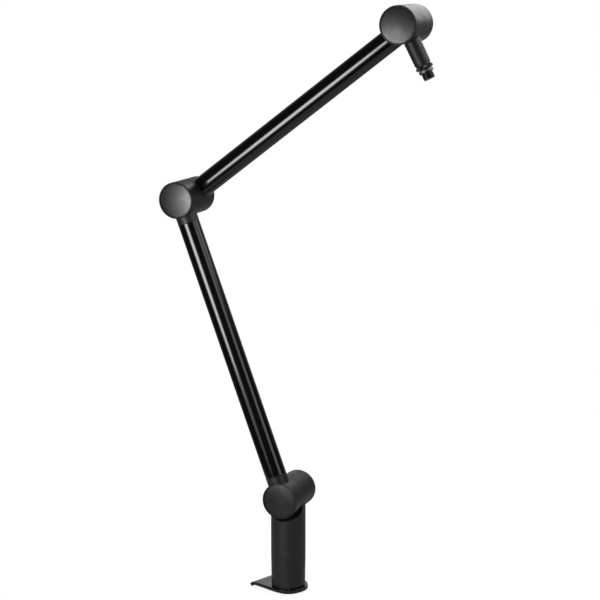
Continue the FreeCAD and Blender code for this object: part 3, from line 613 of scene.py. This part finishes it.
@dataclass
class DeskPlate:
    """The steel plate that lies on the desk, with one round end and a lip bent down at the other."""

    radius: float = 27.7
    thickness: float = 4.6
    reach: float = 39.4
    bend: float = 13.0
    bend_angle: float = 50.0
    flat: float = 0.5
    bevel: float = 0.9
    lower_bevel: float = 0.3
    heading: float = 157.7
    bend_steps: int = 12
    rim_angle: float = 80.0
    rim_slack: float = 0.1
    rim_steps: int = 3
    hole: float = 9.0
    hole_reach: float = 10.0

    @property
    def arc(self) -> float:
        """How long the bend is along the sheet's top."""
        return self.bend * math.radians(self.bend_angle)

    def shape(self) -> bmesh.types.BMesh:
        """The plate with its top at height 0 and its lip towards +X."""
        bm = bmesh.new()
        bmesh.ops.create_circle(bm, segments=DISC_STEPS, radius=self.radius, cap_ends=True)
        whole = bm.verts[:] + bm.edges[:] + bm.faces[:]
        bmesh.ops.bisect_plane(
            bm, geom=whole, dist=TOUCHING, plane_co=(0, 0, 0), plane_no=(1, 0, 0), clear_outer=True,
        )
        front = [e for e in bm.edges if all(abs(v.co.x) < TOUCHING for v in e.verts)]
        runs = [self.reach] + [self.arc / self.bend_steps] * self.bend_steps + [self.flat]
        for run in runs:
            new, front = extruded(bm, front)
            bmesh.ops.translate(bm, vec=(run, 0, 0), verts=new)
        sheet = bmesh.ops.extrude_face_region(bm, geom=bm.faces[:])["geom"]
        below = [v for v in sheet if isinstance(v, bmesh.types.BMVert)]
        bmesh.ops.translate(bm, vec=(0, 0, -self.thickness), verts=below)
        bmesh.ops.recalc_face_normals(bm, faces=bm.faces[:])
        rims = [e for e in bm.edges if e.calc_face_angle(0.0) > math.radians(self.rim_angle)]
        upper = [e for e in rims if all(v.co.z > -self.rim_slack for v in e.verts)]
        lower = [e for e in rims if all(v.co.z < self.rim_slack - self.thickness for v in e.verts)]
        for edges, size in ((upper, self.bevel), (lower, self.lower_bevel)):
            bmesh.ops.bevel(
                bm, geom=edges, offset=size, offset_type="OFFSET", segments=self.rim_steps, profile=0.5,
                affect="EDGES", clamp_overlap=True, material=-1,
            )
        for vertex in bm.verts:
            self.fold(vertex)
        return bm

    def fold(self, vertex: bmesh.types.BMVert) -> None:
        """Bend a point of the flat sheet round the lip.

        Args:
            vertex: the point, in the sheet as it lies flat.
        """
        past = vertex.co.x - self.reach
        if past <= 0:
            return
        angle = min(past / self.arc, 1.0) * math.radians(self.bend_angle)
        radius = self.bend + vertex.co.z
        straight = max(past - self.arc, 0.0)
        vertex.co.x = self.reach + radius * math.sin(angle) + straight * math.cos(angle)
        vertex.co.z = radius * math.cos(angle) - self.bend - straight * math.sin(angle)

    def build(self) -> None:
        """Make the plate over its node."""
        top = span("base_plate", Z)[1]
        drill = rod(self.hole, -self.hole_reach, self.hole_reach)
        turn = Matrix.Rotation(math.radians(self.heading), 4, "Z")
        place = turn @ Matrix.Translation((0, 0, top))
        piece("desk_plate", carved(self.shape(), drill), place, "base", POWDER, "base_plate")


@dataclass
class Column:
    """The round column: a fixed base, and a sleeve that swivels and carries the shoulder.

    recess and rise are the width and height of the shadow gap under the base's foot. drop is how far
    below the hinge axis the sleeve's blank ends, seam_gap is the gap between the shoulder's drums,
    and tool_reach is longer than any cut.
    """

    layout: Layout
    radius: float = 24.4
    foot: float = 23.8
    foot_edge: float = 0.15
    recess: float = 3.2
    rise: float = 2.2
    flange: float = 16.0
    flange_height: float = 4.0
    spindle: float = 10.0
    bore: float = 13.0
    pocket: float = 19.0
    shelf: float = 90.5
    drop: float = 6.0
    barrel: float = 25.4
    clearance: float = 0.8
    seam_gap: float = 0.4
    scoop: float = 32.0
    scoop_wall: float = -5.2
    scoop_round: float = 8.0
    scoop_steps: int = 12
    screw: GrubScrew = GrubScrew(radius=2.5, length=10.4, socket=2.5)
    screw_ways: tuple[float, float] = (60.0, 120.0)
    hole_depth: float = 8.0
    joint_line: float = 0.06
    seam_edge: float = 0.35
    tool_reach: float = 60.0

    def hinge_tool(self, radius: float, low: float, high: float, rounded: float = 0.0) -> bmesh.types.BMesh:
        """A cylinder about the shoulder's axis, to cut away.

        Args:
            radius: its radius.
            low: its front end along Y.
            high: its rear end.
            rounded: the radius of its rear end's edge.

        Returns:
            The tool, in its place.
        """
        tool = rod(radius, low, high, {2: rounded} if rounded else None, soft=self.scoop_steps)
        return put(tool, pointing(self.layout.shoulder, Y_WAY, X_WAY))

    def hollows(self, seam: float) -> list[bmesh.types.BMesh]:
        """The tools that clear the column's top for the turning drum."""
        return [
            self.hinge_tool(self.barrel + self.clearance, -self.tool_reach, seam),
            self.hinge_tool(self.scoop, -self.tool_reach, self.scoop_wall, self.scoop_round),
        ]

    def screw_places(self) -> list[Matrix]:
        """Where the two screws that hold the shoulder's stem are, pointing outwards."""
        height = sum(span("column_screws", Z)) / 2
        places = []
        for way in self.screw_ways:
            out = Vector((math.cos(math.radians(way)), math.sin(math.radians(way)), 0))
            places.append(pointing(out * self.radius + Z_WAY * height, out, Z_WAY))
        return places

    def base(self) -> bmesh.types.BMesh:
        """The turned base, with the shadow gap under its foot."""
        low, top = span("column_base", Z)
        toe = self.foot - self.recess
        gap, shelf = low + self.rise, low + self.flange_height
        return turned([
            (self.flange, low), (toe, low), (toe, gap), (self.foot, gap), (self.radius, top),
            (self.spindle, top), (self.spindle, shelf), (self.flange, shelf),
        ], {3: self.foot_edge, 4: self.seam_edge})

    def sleeve(self) -> bmesh.types.BMesh:
        """The sleeve, cut out round the shoulder and drilled for its screws."""
        low = span("column_sleeve", Z)[0]
        seam = self.seam()
        top = self.layout.shoulder.z - self.drop
        blank = turned([
            (self.bore, low), (self.radius, low), (self.radius, top), (self.pocket, top),
            (self.pocket, self.shelf), (self.bore, self.shelf),
        ], {1: self.seam_edge})
        holes = [self.screw.hole(self.hole_depth, place) for place in self.screw_places()]
        saddle = self.hinge_tool(self.barrel + self.joint_line, seam - self.seam_gap, self.tool_reach)
        return carved(blank, *self.hollows(seam), saddle, *holes)

    def build(self) -> None:
        """Make the column's base and sleeve, and the sleeve's screws."""
        piece("column_foot", self.base(), Matrix(), "base", ANODISED, "column_base")
        piece("column_sleeve_skin", self.sleeve(), Matrix(), "column", ANODISED, "column_sleeve")
        screws = self.screw.all_at(self.screw_places())
        piece("column_set_screws", screws, Matrix(), "column", STEEL, "column_screws")

    def seam(self) -> float:
        """The rear face of the shoulder's seam along Y."""
        return span("shoulder_front_drum", Y)[1] + self.seam_gap


# --------------------------------------------------------------------------------------------
# Barrels, tubes and spigot
# --------------------------------------------------------------------------------------------


@dataclass
class Drum:
    """Half of a barrel hinge, with its end cap and, where a tube leaves it, the tube's collar.

    tube_at is where that tube is along Y, and ring is the friction ring's groove, as its inner and
    outer radius and its depth. cap_floor is how far the cap's underside is above the cap's seat,
    stub_floor how far the stub's bore starts past the collar, head_hollow how deep the head's hollow
    is, and play the gap round a part that fits in another.
    """

    name: str
    body: str
    pivot: Vector
    side: Side
    towards: Vector
    half: Half
    tube_at: float | None = None
    stem_of: Column | None = None
    radius: float = 25.4
    rim: float = 1.5
    rim_steps: int = 6
    edge: float = 0.35
    seat_edge: float = 0.15
    cap_radius: float = 23.2
    cap_edge: float = 0.45
    cap_gap: float = 0.3
    cap_seat: float = 3.6
    cap_dome: float = 1.2
    cap_rise: float = 0.3
    cap_floor: float = 0.6
    cap_steps: int = 10
    skirt_depth: float = 3.4
    skirt_inset: float = 2.0
    cavity: float = 18.5
    hub: float = 13.0
    bush: float = 8.0
    axle: float = 5.0
    head_room: float = 5.0
    web: float = 6.0
    head_hollow: float = 2.0
    ring: tuple[float, float, float] = (19.3, 23.1, 1.3)
    collar_radius: float = 15.0
    collar_start: float = 19.0
    lower_reach: float = 34.5
    upper_reach: float = 24.2
    stub_radius: float = 13.4
    stub_root: float = 3.0
    stub_length: float = 22.0
    stub_bore: float = 10.0
    stub_floor: float = 2.0
    stub_edge: float = 0.6
    stem_drop: float = 12.0
    play: float = 0.05

    @property
    def node(self) -> str:
        """The frame's node for this drum."""
        return f"{self.name}_{self.side.name.lower()}_drum"

    @property
    def collar_end(self) -> float:
        """How far from the hinge axis this drum's collar ends and its tube starts."""
        return self.lower_reach if self.body == "lower_arm" else self.upper_reach

    @property
    def seam(self) -> float:
        """Where the drum's seam face is along Y."""
        if self.stem_of:
            return self.stem_of.seam()
        front, rear = span(self.node, Y)
        return rear if self.side is Side.FRONT else front

    @property
    def length(self) -> float:
        """From the seam face to the outer end."""
        front, rear = span(self.node, Y)
        end = front if self.side is Side.FRONT else rear
        return abs(end - self.seam)

    @property
    def place(self) -> Matrix:
        """The drum's frame: Z runs out from the seam, X towards the tube."""
        origin = Vector((self.pivot.x, self.seam, self.pivot.z))
        return pointing(origin, Vector((0, self.side.value, 0)), self.towards)

    def outer_end(self) -> list[Corner]:
        """The outline's corners from the outer wall over the rim to the cap's seat."""
        seat = self.cap_radius + self.cap_gap
        return [
            (self.radius, 0), (self.radius, self.length), (seat, self.length),
            (seat, self.length - self.cap_seat), (self.cavity, self.length - self.cap_seat),
        ]

    def barrel(self) -> bmesh.types.BMesh:
        """The turned half barrel."""
        inner, outer, depth = self.ring
        if self.half is Half.HUB:
            inside = [
                (self.cavity, self.hub), (self.bush, self.hub), (self.bush, 0), (inner, 0),
                (inner, depth), (outer, depth), (outer, 0),
            ]
        else:
            wall = self.length - self.cap_seat - self.head_room
            hollow = wall - self.web if self.name != "head" else self.head_hollow
            inside = [
                (self.cavity, wall), (self.axle, wall), (self.axle, hollow), (self.cavity, hollow),
                (self.cavity, 0),
            ]
        rounds = {1: self.rim, 0: self.edge, 2: self.seat_edge}
        return turned(self.outer_end() + inside, rounds, soft=self.rim_steps)

    def collar(self) -> list[bmesh.types.BMesh]:
        """The collar that the tube butts against, and the stub inside the tube."""
        along = pointing(Z_WAY * abs(self.tube_at - self.seam), X_WAY, Z_WAY)
        sleeve = rod(self.collar_radius, self.collar_start, self.collar_end, {2: self.edge})
        root, end = self.collar_end - self.stub_root, self.collar_end + self.stub_length
        floor = self.collar_end + self.stub_floor
        stub = turned([
            (0, root), (self.stub_radius, root), (self.stub_radius, end), (self.stub_bore, end),
            (self.stub_bore, floor), (0, floor),
        ], {2: self.stub_edge}, steps=STUB_STEPS)
        return [put(sleeve, along), put(stub, along)]

    def stem(self) -> bmesh.types.BMesh:
        """The stem under the shoulder's rear drum, in the drum's own frame."""
        column = self.stem_of
        low = span(self.node, Z)[0]
        blank = rod(column.pocket - self.play, low, self.pivot.z - self.stem_drop)
        inside = column.hinge_tool(self.cavity, -column.tool_reach, column.tool_reach)
        return put(carved(blank, *column.hollows(column.seam()), inside), self.place.inverted())

    def cap(self) -> bmesh.types.BMesh:
        """The domed cap, with a skirt that snaps into the drum."""
        face = self.length + self.cap_rise
        shares = [step / self.cap_steps for step in range(self.cap_steps + 1)]
        dome = [(self.cap_radius * share, face - self.cap_dome * share ** 2) for share in shares]
        seat = self.length - self.cap_seat
        skirt, inner = self.cavity - self.play, self.cavity - self.skirt_inset
        low, floor = seat - self.skirt_depth, seat + self.cap_floor
        return turned(dome + [
            (self.cap_radius, seat), (skirt, seat), (skirt, low), (inner, low), (inner, floor), (0, floor),
        ], {self.cap_steps: self.cap_edge})

    def build(self) -> None:
        """Make the drum and its cap over their nodes."""
        parts = [self.barrel()]
        if self.tube_at is not None:
            parts += self.collar()
        if self.stem_of is not None:
            parts.append(self.stem())
        piece(self.node + "_skin", merged(*parts), self.place, self.body, ANODISED, self.node)
        cap_node = self.node.replace("_drum", "_cap")
        piece(cap_node + "_disc", self.cap(), self.place, self.body, CAP, cap_node)


@dataclass
class ArmTube:
    """A round lacquered tube between two collars, held by two grub screws at each end.

    reach is how far from each hinge axis it ends. bands are the distances from its ends of the rings
    of points between which the screw holes lie.
    """

    name: str
    body: str
    start: Vector
    end: Vector
    reach: float
    radius: float = 15.0
    wall: float = 1.5
    edge: float = 0.3
    bands: tuple[float, ...] = (0.0, 2.0, 20.0, 24.0)
    screw: GrubScrew = GrubScrew()
    screw_steps: tuple[float, float] = (7.0, 16.0)
    hole_depth: float = 4.0

    def build(self) -> None:
        """Make the tube and its screws over their nodes."""
        way = self.end - self.start
        low, high = self.reach, way.length - self.reach
        inner = self.radius - self.wall
        stations = [low + band for band in self.bands] + [high - band for band in reversed(self.bands)]
        outside = [(self.radius, at) for at in stations]
        rounds = {0: self.edge, len(stations) - 1: self.edge}
        tube = turned(outside + [(inner, high), (inner, low)], rounds)
        places = [
            pointing(Vector((self.radius, 0, at)), X_WAY, Z_WAY)
            for step in self.screw_steps for at in (low + step, high - step)
        ]
        tube = carved(tube, *(self.screw.hole(self.hole_depth, at) for at in places))
        place = pointing(self.start, way, Y_WAY)
        piece(self.name + "_skin", tube, place, self.body, LACQUER, self.name)
        screws = self.screw.all_at(places)
        piece(self.name + "_set_screws", screws, place, self.body, STEEL, self.name + "_screws")


@dataclass
class Spigot:
    """The head's spigot: a tapered boss, a neck, a knurled ring, a washer and the thread.

    Distances run along the spigot from the head's hinge axis. The boss starts as a thinner tenon in
    the drum, and its taper starts outside it.
    """

    layout: Layout
    tenon: float = 8.0
    tenon_start: float = 10.6
    root: float = 11.2
    root_start: float = 16.0
    taper_start: float = 27.0
    tip: float = 10.9
    tip_edge: float = 0.5
    shoulder: float = 56.5
    neck: float = 10.0
    neck_edge: float = 0.25
    neck_end: float = 58.9
    ring_span: tuple[float, float] = (59.2, 63.2)
    ring_radius: float = 11.5
    ring_bore: float = 7.95
    ring_chamfer: float = 0.3
    knurl_depth: float = 0.32
    knurl_teeth: int = 60
    knurl_steps: int = 240
    flank_drop: float = 0.6
    flank_width: float = 0.5
    washer_span: tuple[float, float] = (64.6, 68.4)
    washer_radius: float = 9.8
    washer_bore: float = 7.4
    washer_edges: tuple[float, float] = (0.3, 0.5)
    shank: float = 6.0
    shank_length: float = 18.0
    shank_play: float = 0.02
    crest: float = 7.9
    thread_root: float = 7.32
    thread_sunk: float = 0.05
    thread_ends: tuple[float, float] = (0.5, 1.1)
    pitch: float = 25.4 / 27
    end: float = 77.8
    end_edge: float = 0.5

    def boss(self) -> bmesh.types.BMesh:
        """The tapered boss with its neck, bored for the thread's shank."""
        return turned([
            (self.shank, self.tenon_start), (self.tenon, self.tenon_start), (self.tenon, self.root_start),
            (self.root, self.root_start), (self.root, self.taper_start), (self.tip, self.shoulder),
            (self.neck, self.shoulder), (self.neck, self.neck_end), (self.shank, self.neck_end),
        ], {5: self.tip_edge, 7: self.neck_edge})

    def ring(self) -> bmesh.types.BMesh:
        """The knurled lock ring."""
        low, high = self.ring_span
        teeth = knurl(self.ring_radius, self.knurl_depth, self.knurl_teeth)
        flank, bore = plain(self.ring_radius - self.flank_drop), plain(self.ring_bore)
        mouth = plain(self.ring_bore + self.ring_chamfer)
        return stacked([
            (low + self.ring_chamfer, bore), (low, mouth), (low, flank), (low + self.flank_width, teeth),
            (high - self.flank_width, teeth), (high, flank), (high, mouth),
            (high - self.ring_chamfer, bore),
        ], steps=self.knurl_steps, looped=True)

    def washer(self) -> bmesh.types.BMesh:
        """The turned washer."""
        low, high = self.washer_span
        return turned([
            (self.washer_bore, low), (self.washer_radius, low), (self.washer_radius, high),
            (self.washer_bore, high),
        ], dict(enumerate(self.washer_edges, start=1)))

    def stud(self) -> bmesh.types.BMesh:
        """The threaded stud with its shank."""
        shank, start = self.shank - self.shank_play, self.shoulder - self.shank_length
        core = turned([
            (0, start), (shank, start), (shank, self.neck_end), (self.thread_root, self.neck_end),
            (self.thread_root, self.end), (0, self.end),
        ], {4: self.end_edge})
        root = self.thread_root - self.thread_sunk
        low, high = self.thread_ends
        return merged(core, thread(root, self.crest, self.pitch, self.neck_end + low, self.end - high))

    def build(self) -> None:
        """Make the spigot's four pieces over their nodes."""
        origin = Vector((self.layout.head.x, self.layout.spigot_offset, self.layout.head.z))
        place = pointing(origin, self.layout.spigot_way, Y_WAY)
        piece("spigot_boss", self.boss(), place, "head", ANODISED, "mic_spigot")
        piece("knurled_ring", self.ring(), place, "lock_ring", OXIDE, "lock_ring")
        piece("steel_washer", self.washer(), place, "head", STEEL, "thread_washer")
        piece("mic_thread", self.stud(), place, "head", OXIDE, "thread_stud")


# --------------------------------------------------------------------------------------------
# Studio
# --------------------------------------------------------------------------------------------


class LampShape(Enum):
    """The outline of a soft box."""

    OBLONG = "RECTANGLE"
    OVAL = "ELLIPSE"


@dataclass(frozen=True)
class Lamp:
    """A soft box: where it is, what it points at, its size in metres and its brightness.

    It lights the arm and shows in its reflections, and the camera doesn't see it.
    """

    name: str
    place: tuple[float, float, float]
    target: tuple[float, float, float]
    size: tuple[float, float]
    radiance: float
    shape: LampShape = LampShape.OBLONG

    def build(self) -> None:
        """Hang the lamp."""
        data = bpy.data.lights.new(self.name, "AREA")
        data.shape = self.shape.value
        data.size, data.size_y = self.size
        area = self.size[0] * self.size[1] * (math.pi / 4 if self.shape is LampShape.OVAL else 1.0)
        data.energy = self.radiance * math.pi * area
        lamp = bpy.data.objects.new(self.name, data)
        lamp.location = self.place
        aim = Vector(self.target) - Vector(self.place)
        lamp.rotation_mode = "QUATERNION"
        lamp.rotation_quaternion = aim.to_track_quat("-Z", "Y")
        lamp.visible_camera = False
        bpy.context.scene.collection.objects.link(lamp)


def mirrored(tree: bpy.types.NodeTree) -> tuple[bpy.types.NodeSocket, bpy.types.NodeSocket]:
    """Tell apart the rays that see a surface.

    Args:
        tree: the node tree.

    Returns:
        Whether a ray comes straight from the camera, and whether it was reflected or let through.
    """
    rays = add(tree, "ShaderNodeLightPath").outputs
    either = add(tree, "ShaderNodeMath", {
        0: rays["Is Glossy Ray"], 1: rays["Is Transmission Ray"],
    }, operation="MAXIMUM")
    return rays["Is Camera Ray"], either.outputs[0]


@dataclass
class Studio:
    """Camera, lamps, world and floor: a pale room with a dark side behind the camera.

    room_glow is how bright reflections find the room, against the cosine of the angle from the way
    that the camera looks. horizon holds the heights of a direction between which that rises from
    low_glow of itself to the whole. room_light is how bright matt surfaces find the room. floor_glow
    is how bright the camera finds the floor before it is lit, and floor_mirror how bright reflections
    find it.
    """

    camera_place: tuple[float, float, float] = (0.8867, -2.1937, 0.8854)
    camera_heading: float = 21.61
    camera_tilt: float = -11.17
    lens: float = 105.4
    sensor: float = 36.0
    clip: tuple[float, float] = (0.05, 50.0)
    floor_place: tuple[float, float, float] = (0.17, 0.0, 0.0)
    floor_radius: float = 0.51
    floor_colour: str = "#8c8c8c"
    floor_glow: float = 0.85
    floor_mirror: float = 0.19
    white: str = "#ffffff"
    lamps: tuple[Lamp, ...] = (
        Lamp("front_box", (-0.30, -1.12, 0.405), (0.0, 0.0, 0.45), (0.52, 0.54), 11.8, LampShape.OVAL),
        Lamp("front_halo", (-0.29, -1.14, 0.36), (0.0, 0.0, 0.45), (0.84, 0.86), 1.5, LampShape.OVAL),
        Lamp("side_box", (1.50, -0.32, 0.80), (0.0, 0.0, 0.60), (0.70, 0.90), 2.1),
        Lamp("high_box", (1.30, 0.05, 1.52), (0.2, 0.0, 0.76), (0.80, 0.44), 4.2),
        Lamp("low_back_box", (-0.53, 1.30, 0.53), (0.0, 0.0, 0.0), (0.34, 0.30), 0.8),
        Lamp("back_box", (0.22, 1.00, 1.20), (0.1, 0.0, 0.75), (0.75, 0.65), 3.1),
        Lamp("corner_box", (1.10, 0.55, 1.25), (0.1, 0.0, 0.75), (0.80, 0.80), 1.9),
    )
    room_glow: tuple[tuple[float, float], ...] = (
        (-1.0, 0.03), (0.2, 0.03), (0.7, 0.22), (0.88, 0.40), (0.97, 1.0),
    )
    room_light: float = 0.35
    horizon: tuple[float, float] = (-0.25, 0.05)
    low_glow: float = 0.6

    def look(self) -> Vector:
        """The direction that the camera looks in."""
        heading, tilt = math.radians(self.camera_heading), math.radians(self.camera_tilt)
        flat = math.cos(tilt)
        return Vector((-math.sin(heading) * flat, math.cos(heading) * flat, math.sin(tilt)))

    def build(self) -> None:
        """Set up the camera, the lamps, the world and the floor."""
        scene = bpy.context.scene
        scene.view_settings.view_transform = "Standard"
        data = bpy.data.cameras.new("camera")
        data.lens, data.sensor_width = self.lens, self.sensor
        data.clip_start, data.clip_end = self.clip
        camera = bpy.data.objects.new("camera", data)
        camera.location = self.camera_place
        camera.rotation_mode = "QUATERNION"
        camera.rotation_quaternion = self.look().to_track_quat("-Z", "Y")
        scene.collection.objects.link(camera)
        scene.camera = camera
        for lamp in self.lamps:
            lamp.build()
        self.world()
        self.floor()

    def world(self) -> None:
        """A white room for the camera; in reflections it is white behind the arm and dark in front."""
        world = bpy.data.worlds.new("room")
        bpy.context.scene.world = world
        world.use_nodes = True
        tree = world.node_tree
        tree.nodes.clear()
        way = add(tree, "ShaderNodeTexCoord").outputs["Generated"]
        parts = add(tree, "ShaderNodeSeparateXYZ", {0: way})
        behind = add(tree, "ShaderNodeVectorMath", {0: way, 1: self.look()}, operation="DOT_PRODUCT")
        share = add(tree, "ShaderNodeMapRange", {"Value": behind.outputs["Value"], "From Min": -1.0})
        depth = add(tree, "ShaderNodeValToRGB", {0: share.outputs[0]})
        stops = depth.color_ramp.elements
        ready = len(stops)
        for number, (cosine, glow) in enumerate(self.room_glow):
            stop = stops[number] if number < ready else stops.new(1.0)
            stop.position = (cosine + 1) / 2
            stop.color = (glow, glow, glow, 1.0)
        ground, sky = self.horizon
        height = add(tree, "ShaderNodeMapRange", {
            "Value": parts.outputs[Z], "From Min": ground, "From Max": sky,
            "To Min": self.low_glow, "To Max": 1.0,
        }, interpolation_type="SMOOTHSTEP")
        gloss = add(tree, "ShaderNodeMath", {0: depth.outputs[0], 1: height.outputs[0]}, operation="MULTIPLY")
        straight, reflected = mirrored(tree)
        first, second = MIX_VALUES
        room = add(tree, "ShaderNodeMix", {
            MIX_SHARE: reflected, first: self.room_light, second: gloss.outputs[0],
        })
        seen = add(tree, "ShaderNodeMix", {MIX_SHARE: straight, first: room.outputs[0], second: 1.0})
        light = add(tree, "ShaderNodeBackground", {
            "Color": linear(self.white), "Strength": seen.outputs[0],
        })
        add(tree, "ShaderNodeOutputWorld", {"Surface": light.outputs[0]})

    def floor(self) -> None:
        """A pale round floor that keeps the arm's shadow."""
        bm = bmesh.new()
        bmesh.ops.create_circle(bm, segments=DISC_STEPS, radius=self.floor_radius, cap_ends=True)
        mesh = bpy.data.meshes.new("floor")
        bm.to_mesh(mesh)
        bm.free()
        floor = bpy.data.objects.new("floor", mesh)
        floor.location = self.floor_place
        bpy.context.scene.collection.objects.link(floor)
        floor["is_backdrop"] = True
        paint = bpy.data.materials.new("pale_floor")
        paint.use_nodes = True
        tree = paint.node_tree
        tree.nodes.clear()
        straight, reflected = mirrored(tree)
        matt = add(tree, "ShaderNodeBsdfDiffuse", {"Color": linear(self.floor_colour)})
        soft = add(tree, "ShaderNodeMath", {0: reflected, 1: self.floor_mirror}, operation="MULTIPLY")
        lift = add(tree, "ShaderNodeMath", {
            0: straight, 1: self.floor_glow, 2: soft.outputs[0],
        }, operation="MULTIPLY_ADD")
        glow = add(tree, "ShaderNodeEmission", {
            "Color": linear(self.white), "Strength": lift.outputs[0],
        })
        both = add(tree, "ShaderNodeAddShader", {0: matt.outputs[0], 1: glow.outputs[0]})
        add(tree, "ShaderNodeOutputMaterial", {"Surface": both.outputs[0]})
        mesh.materials.append(paint)


# --------------------------------------------------------------------------------------------
# The whole arm
# --------------------------------------------------------------------------------------------


def dress_nodes() -> None:
    """Give every node of the frame the finish of its slot."""
    for part in frame["record"]["subparts"]:
        node = frame["nodes"][part["node"]]
        finish = FINISHES[part["material_slot"]].material()
        if not node.material_slots:
            node.data.materials.append(finish)
        for slot in node.material_slots:
            slot.material = finish


def corners(box: tuple[Vector, Vector]) -> list[list[float]]:
    """A box's two corners as plain lists."""
    return [list(corner) for corner in box]


def main() -> None:
    """Build the arm from the desk up, then the studio round it."""
    logging.basicConfig(level=logging.INFO, format="%(message)s")
    cad_box = corners(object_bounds())
    layout = Layout.read()
    dress_nodes()
    DeskPlate().build()
    column = Column(layout)
    column.build()
    lower, upper = layout.lower_way, layout.upper_way
    front_tube = sum(span("lower_tube", Y)) / 2
    rear_tube = sum(span("upper_tube", Y)) / 2
    for drum in (
        Drum("shoulder", "lower_arm", layout.shoulder, Side.FRONT, lower, Half.HUB, front_tube),
        Drum("shoulder", "column", layout.shoulder, Side.REAR, -Z_WAY, Half.HOUSING, stem_of=column),
        Drum("elbow", "lower_arm", layout.elbow, Side.FRONT, -lower, Half.HUB, front_tube),
        Drum("elbow", "upper_arm", layout.elbow, Side.REAR, upper, Half.HOUSING, rear_tube),
        Drum("head", "upper_arm", layout.head, Side.REAR, -upper, Half.HUB, rear_tube),
        Drum("head", "head", layout.head, Side.FRONT, layout.spigot_way, Half.HOUSING),
    ):
        drum.build()
    for name, body, start, end, middle, reach in (
        ("lower_tube", "lower_arm", layout.shoulder, layout.elbow, front_tube, Drum.lower_reach),
        ("upper_tube", "upper_arm", layout.elbow, layout.head, rear_tube, Drum.upper_reach),
    ):
        ArmTube(name, body, start + Y_WAY * middle, end + Y_WAY * middle, reach).build()
    Spigot(layout).build()
    Studio().build()
    {"cad": cad_box, "final": corners(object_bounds())}


if __name__ == "__main__":
    main()
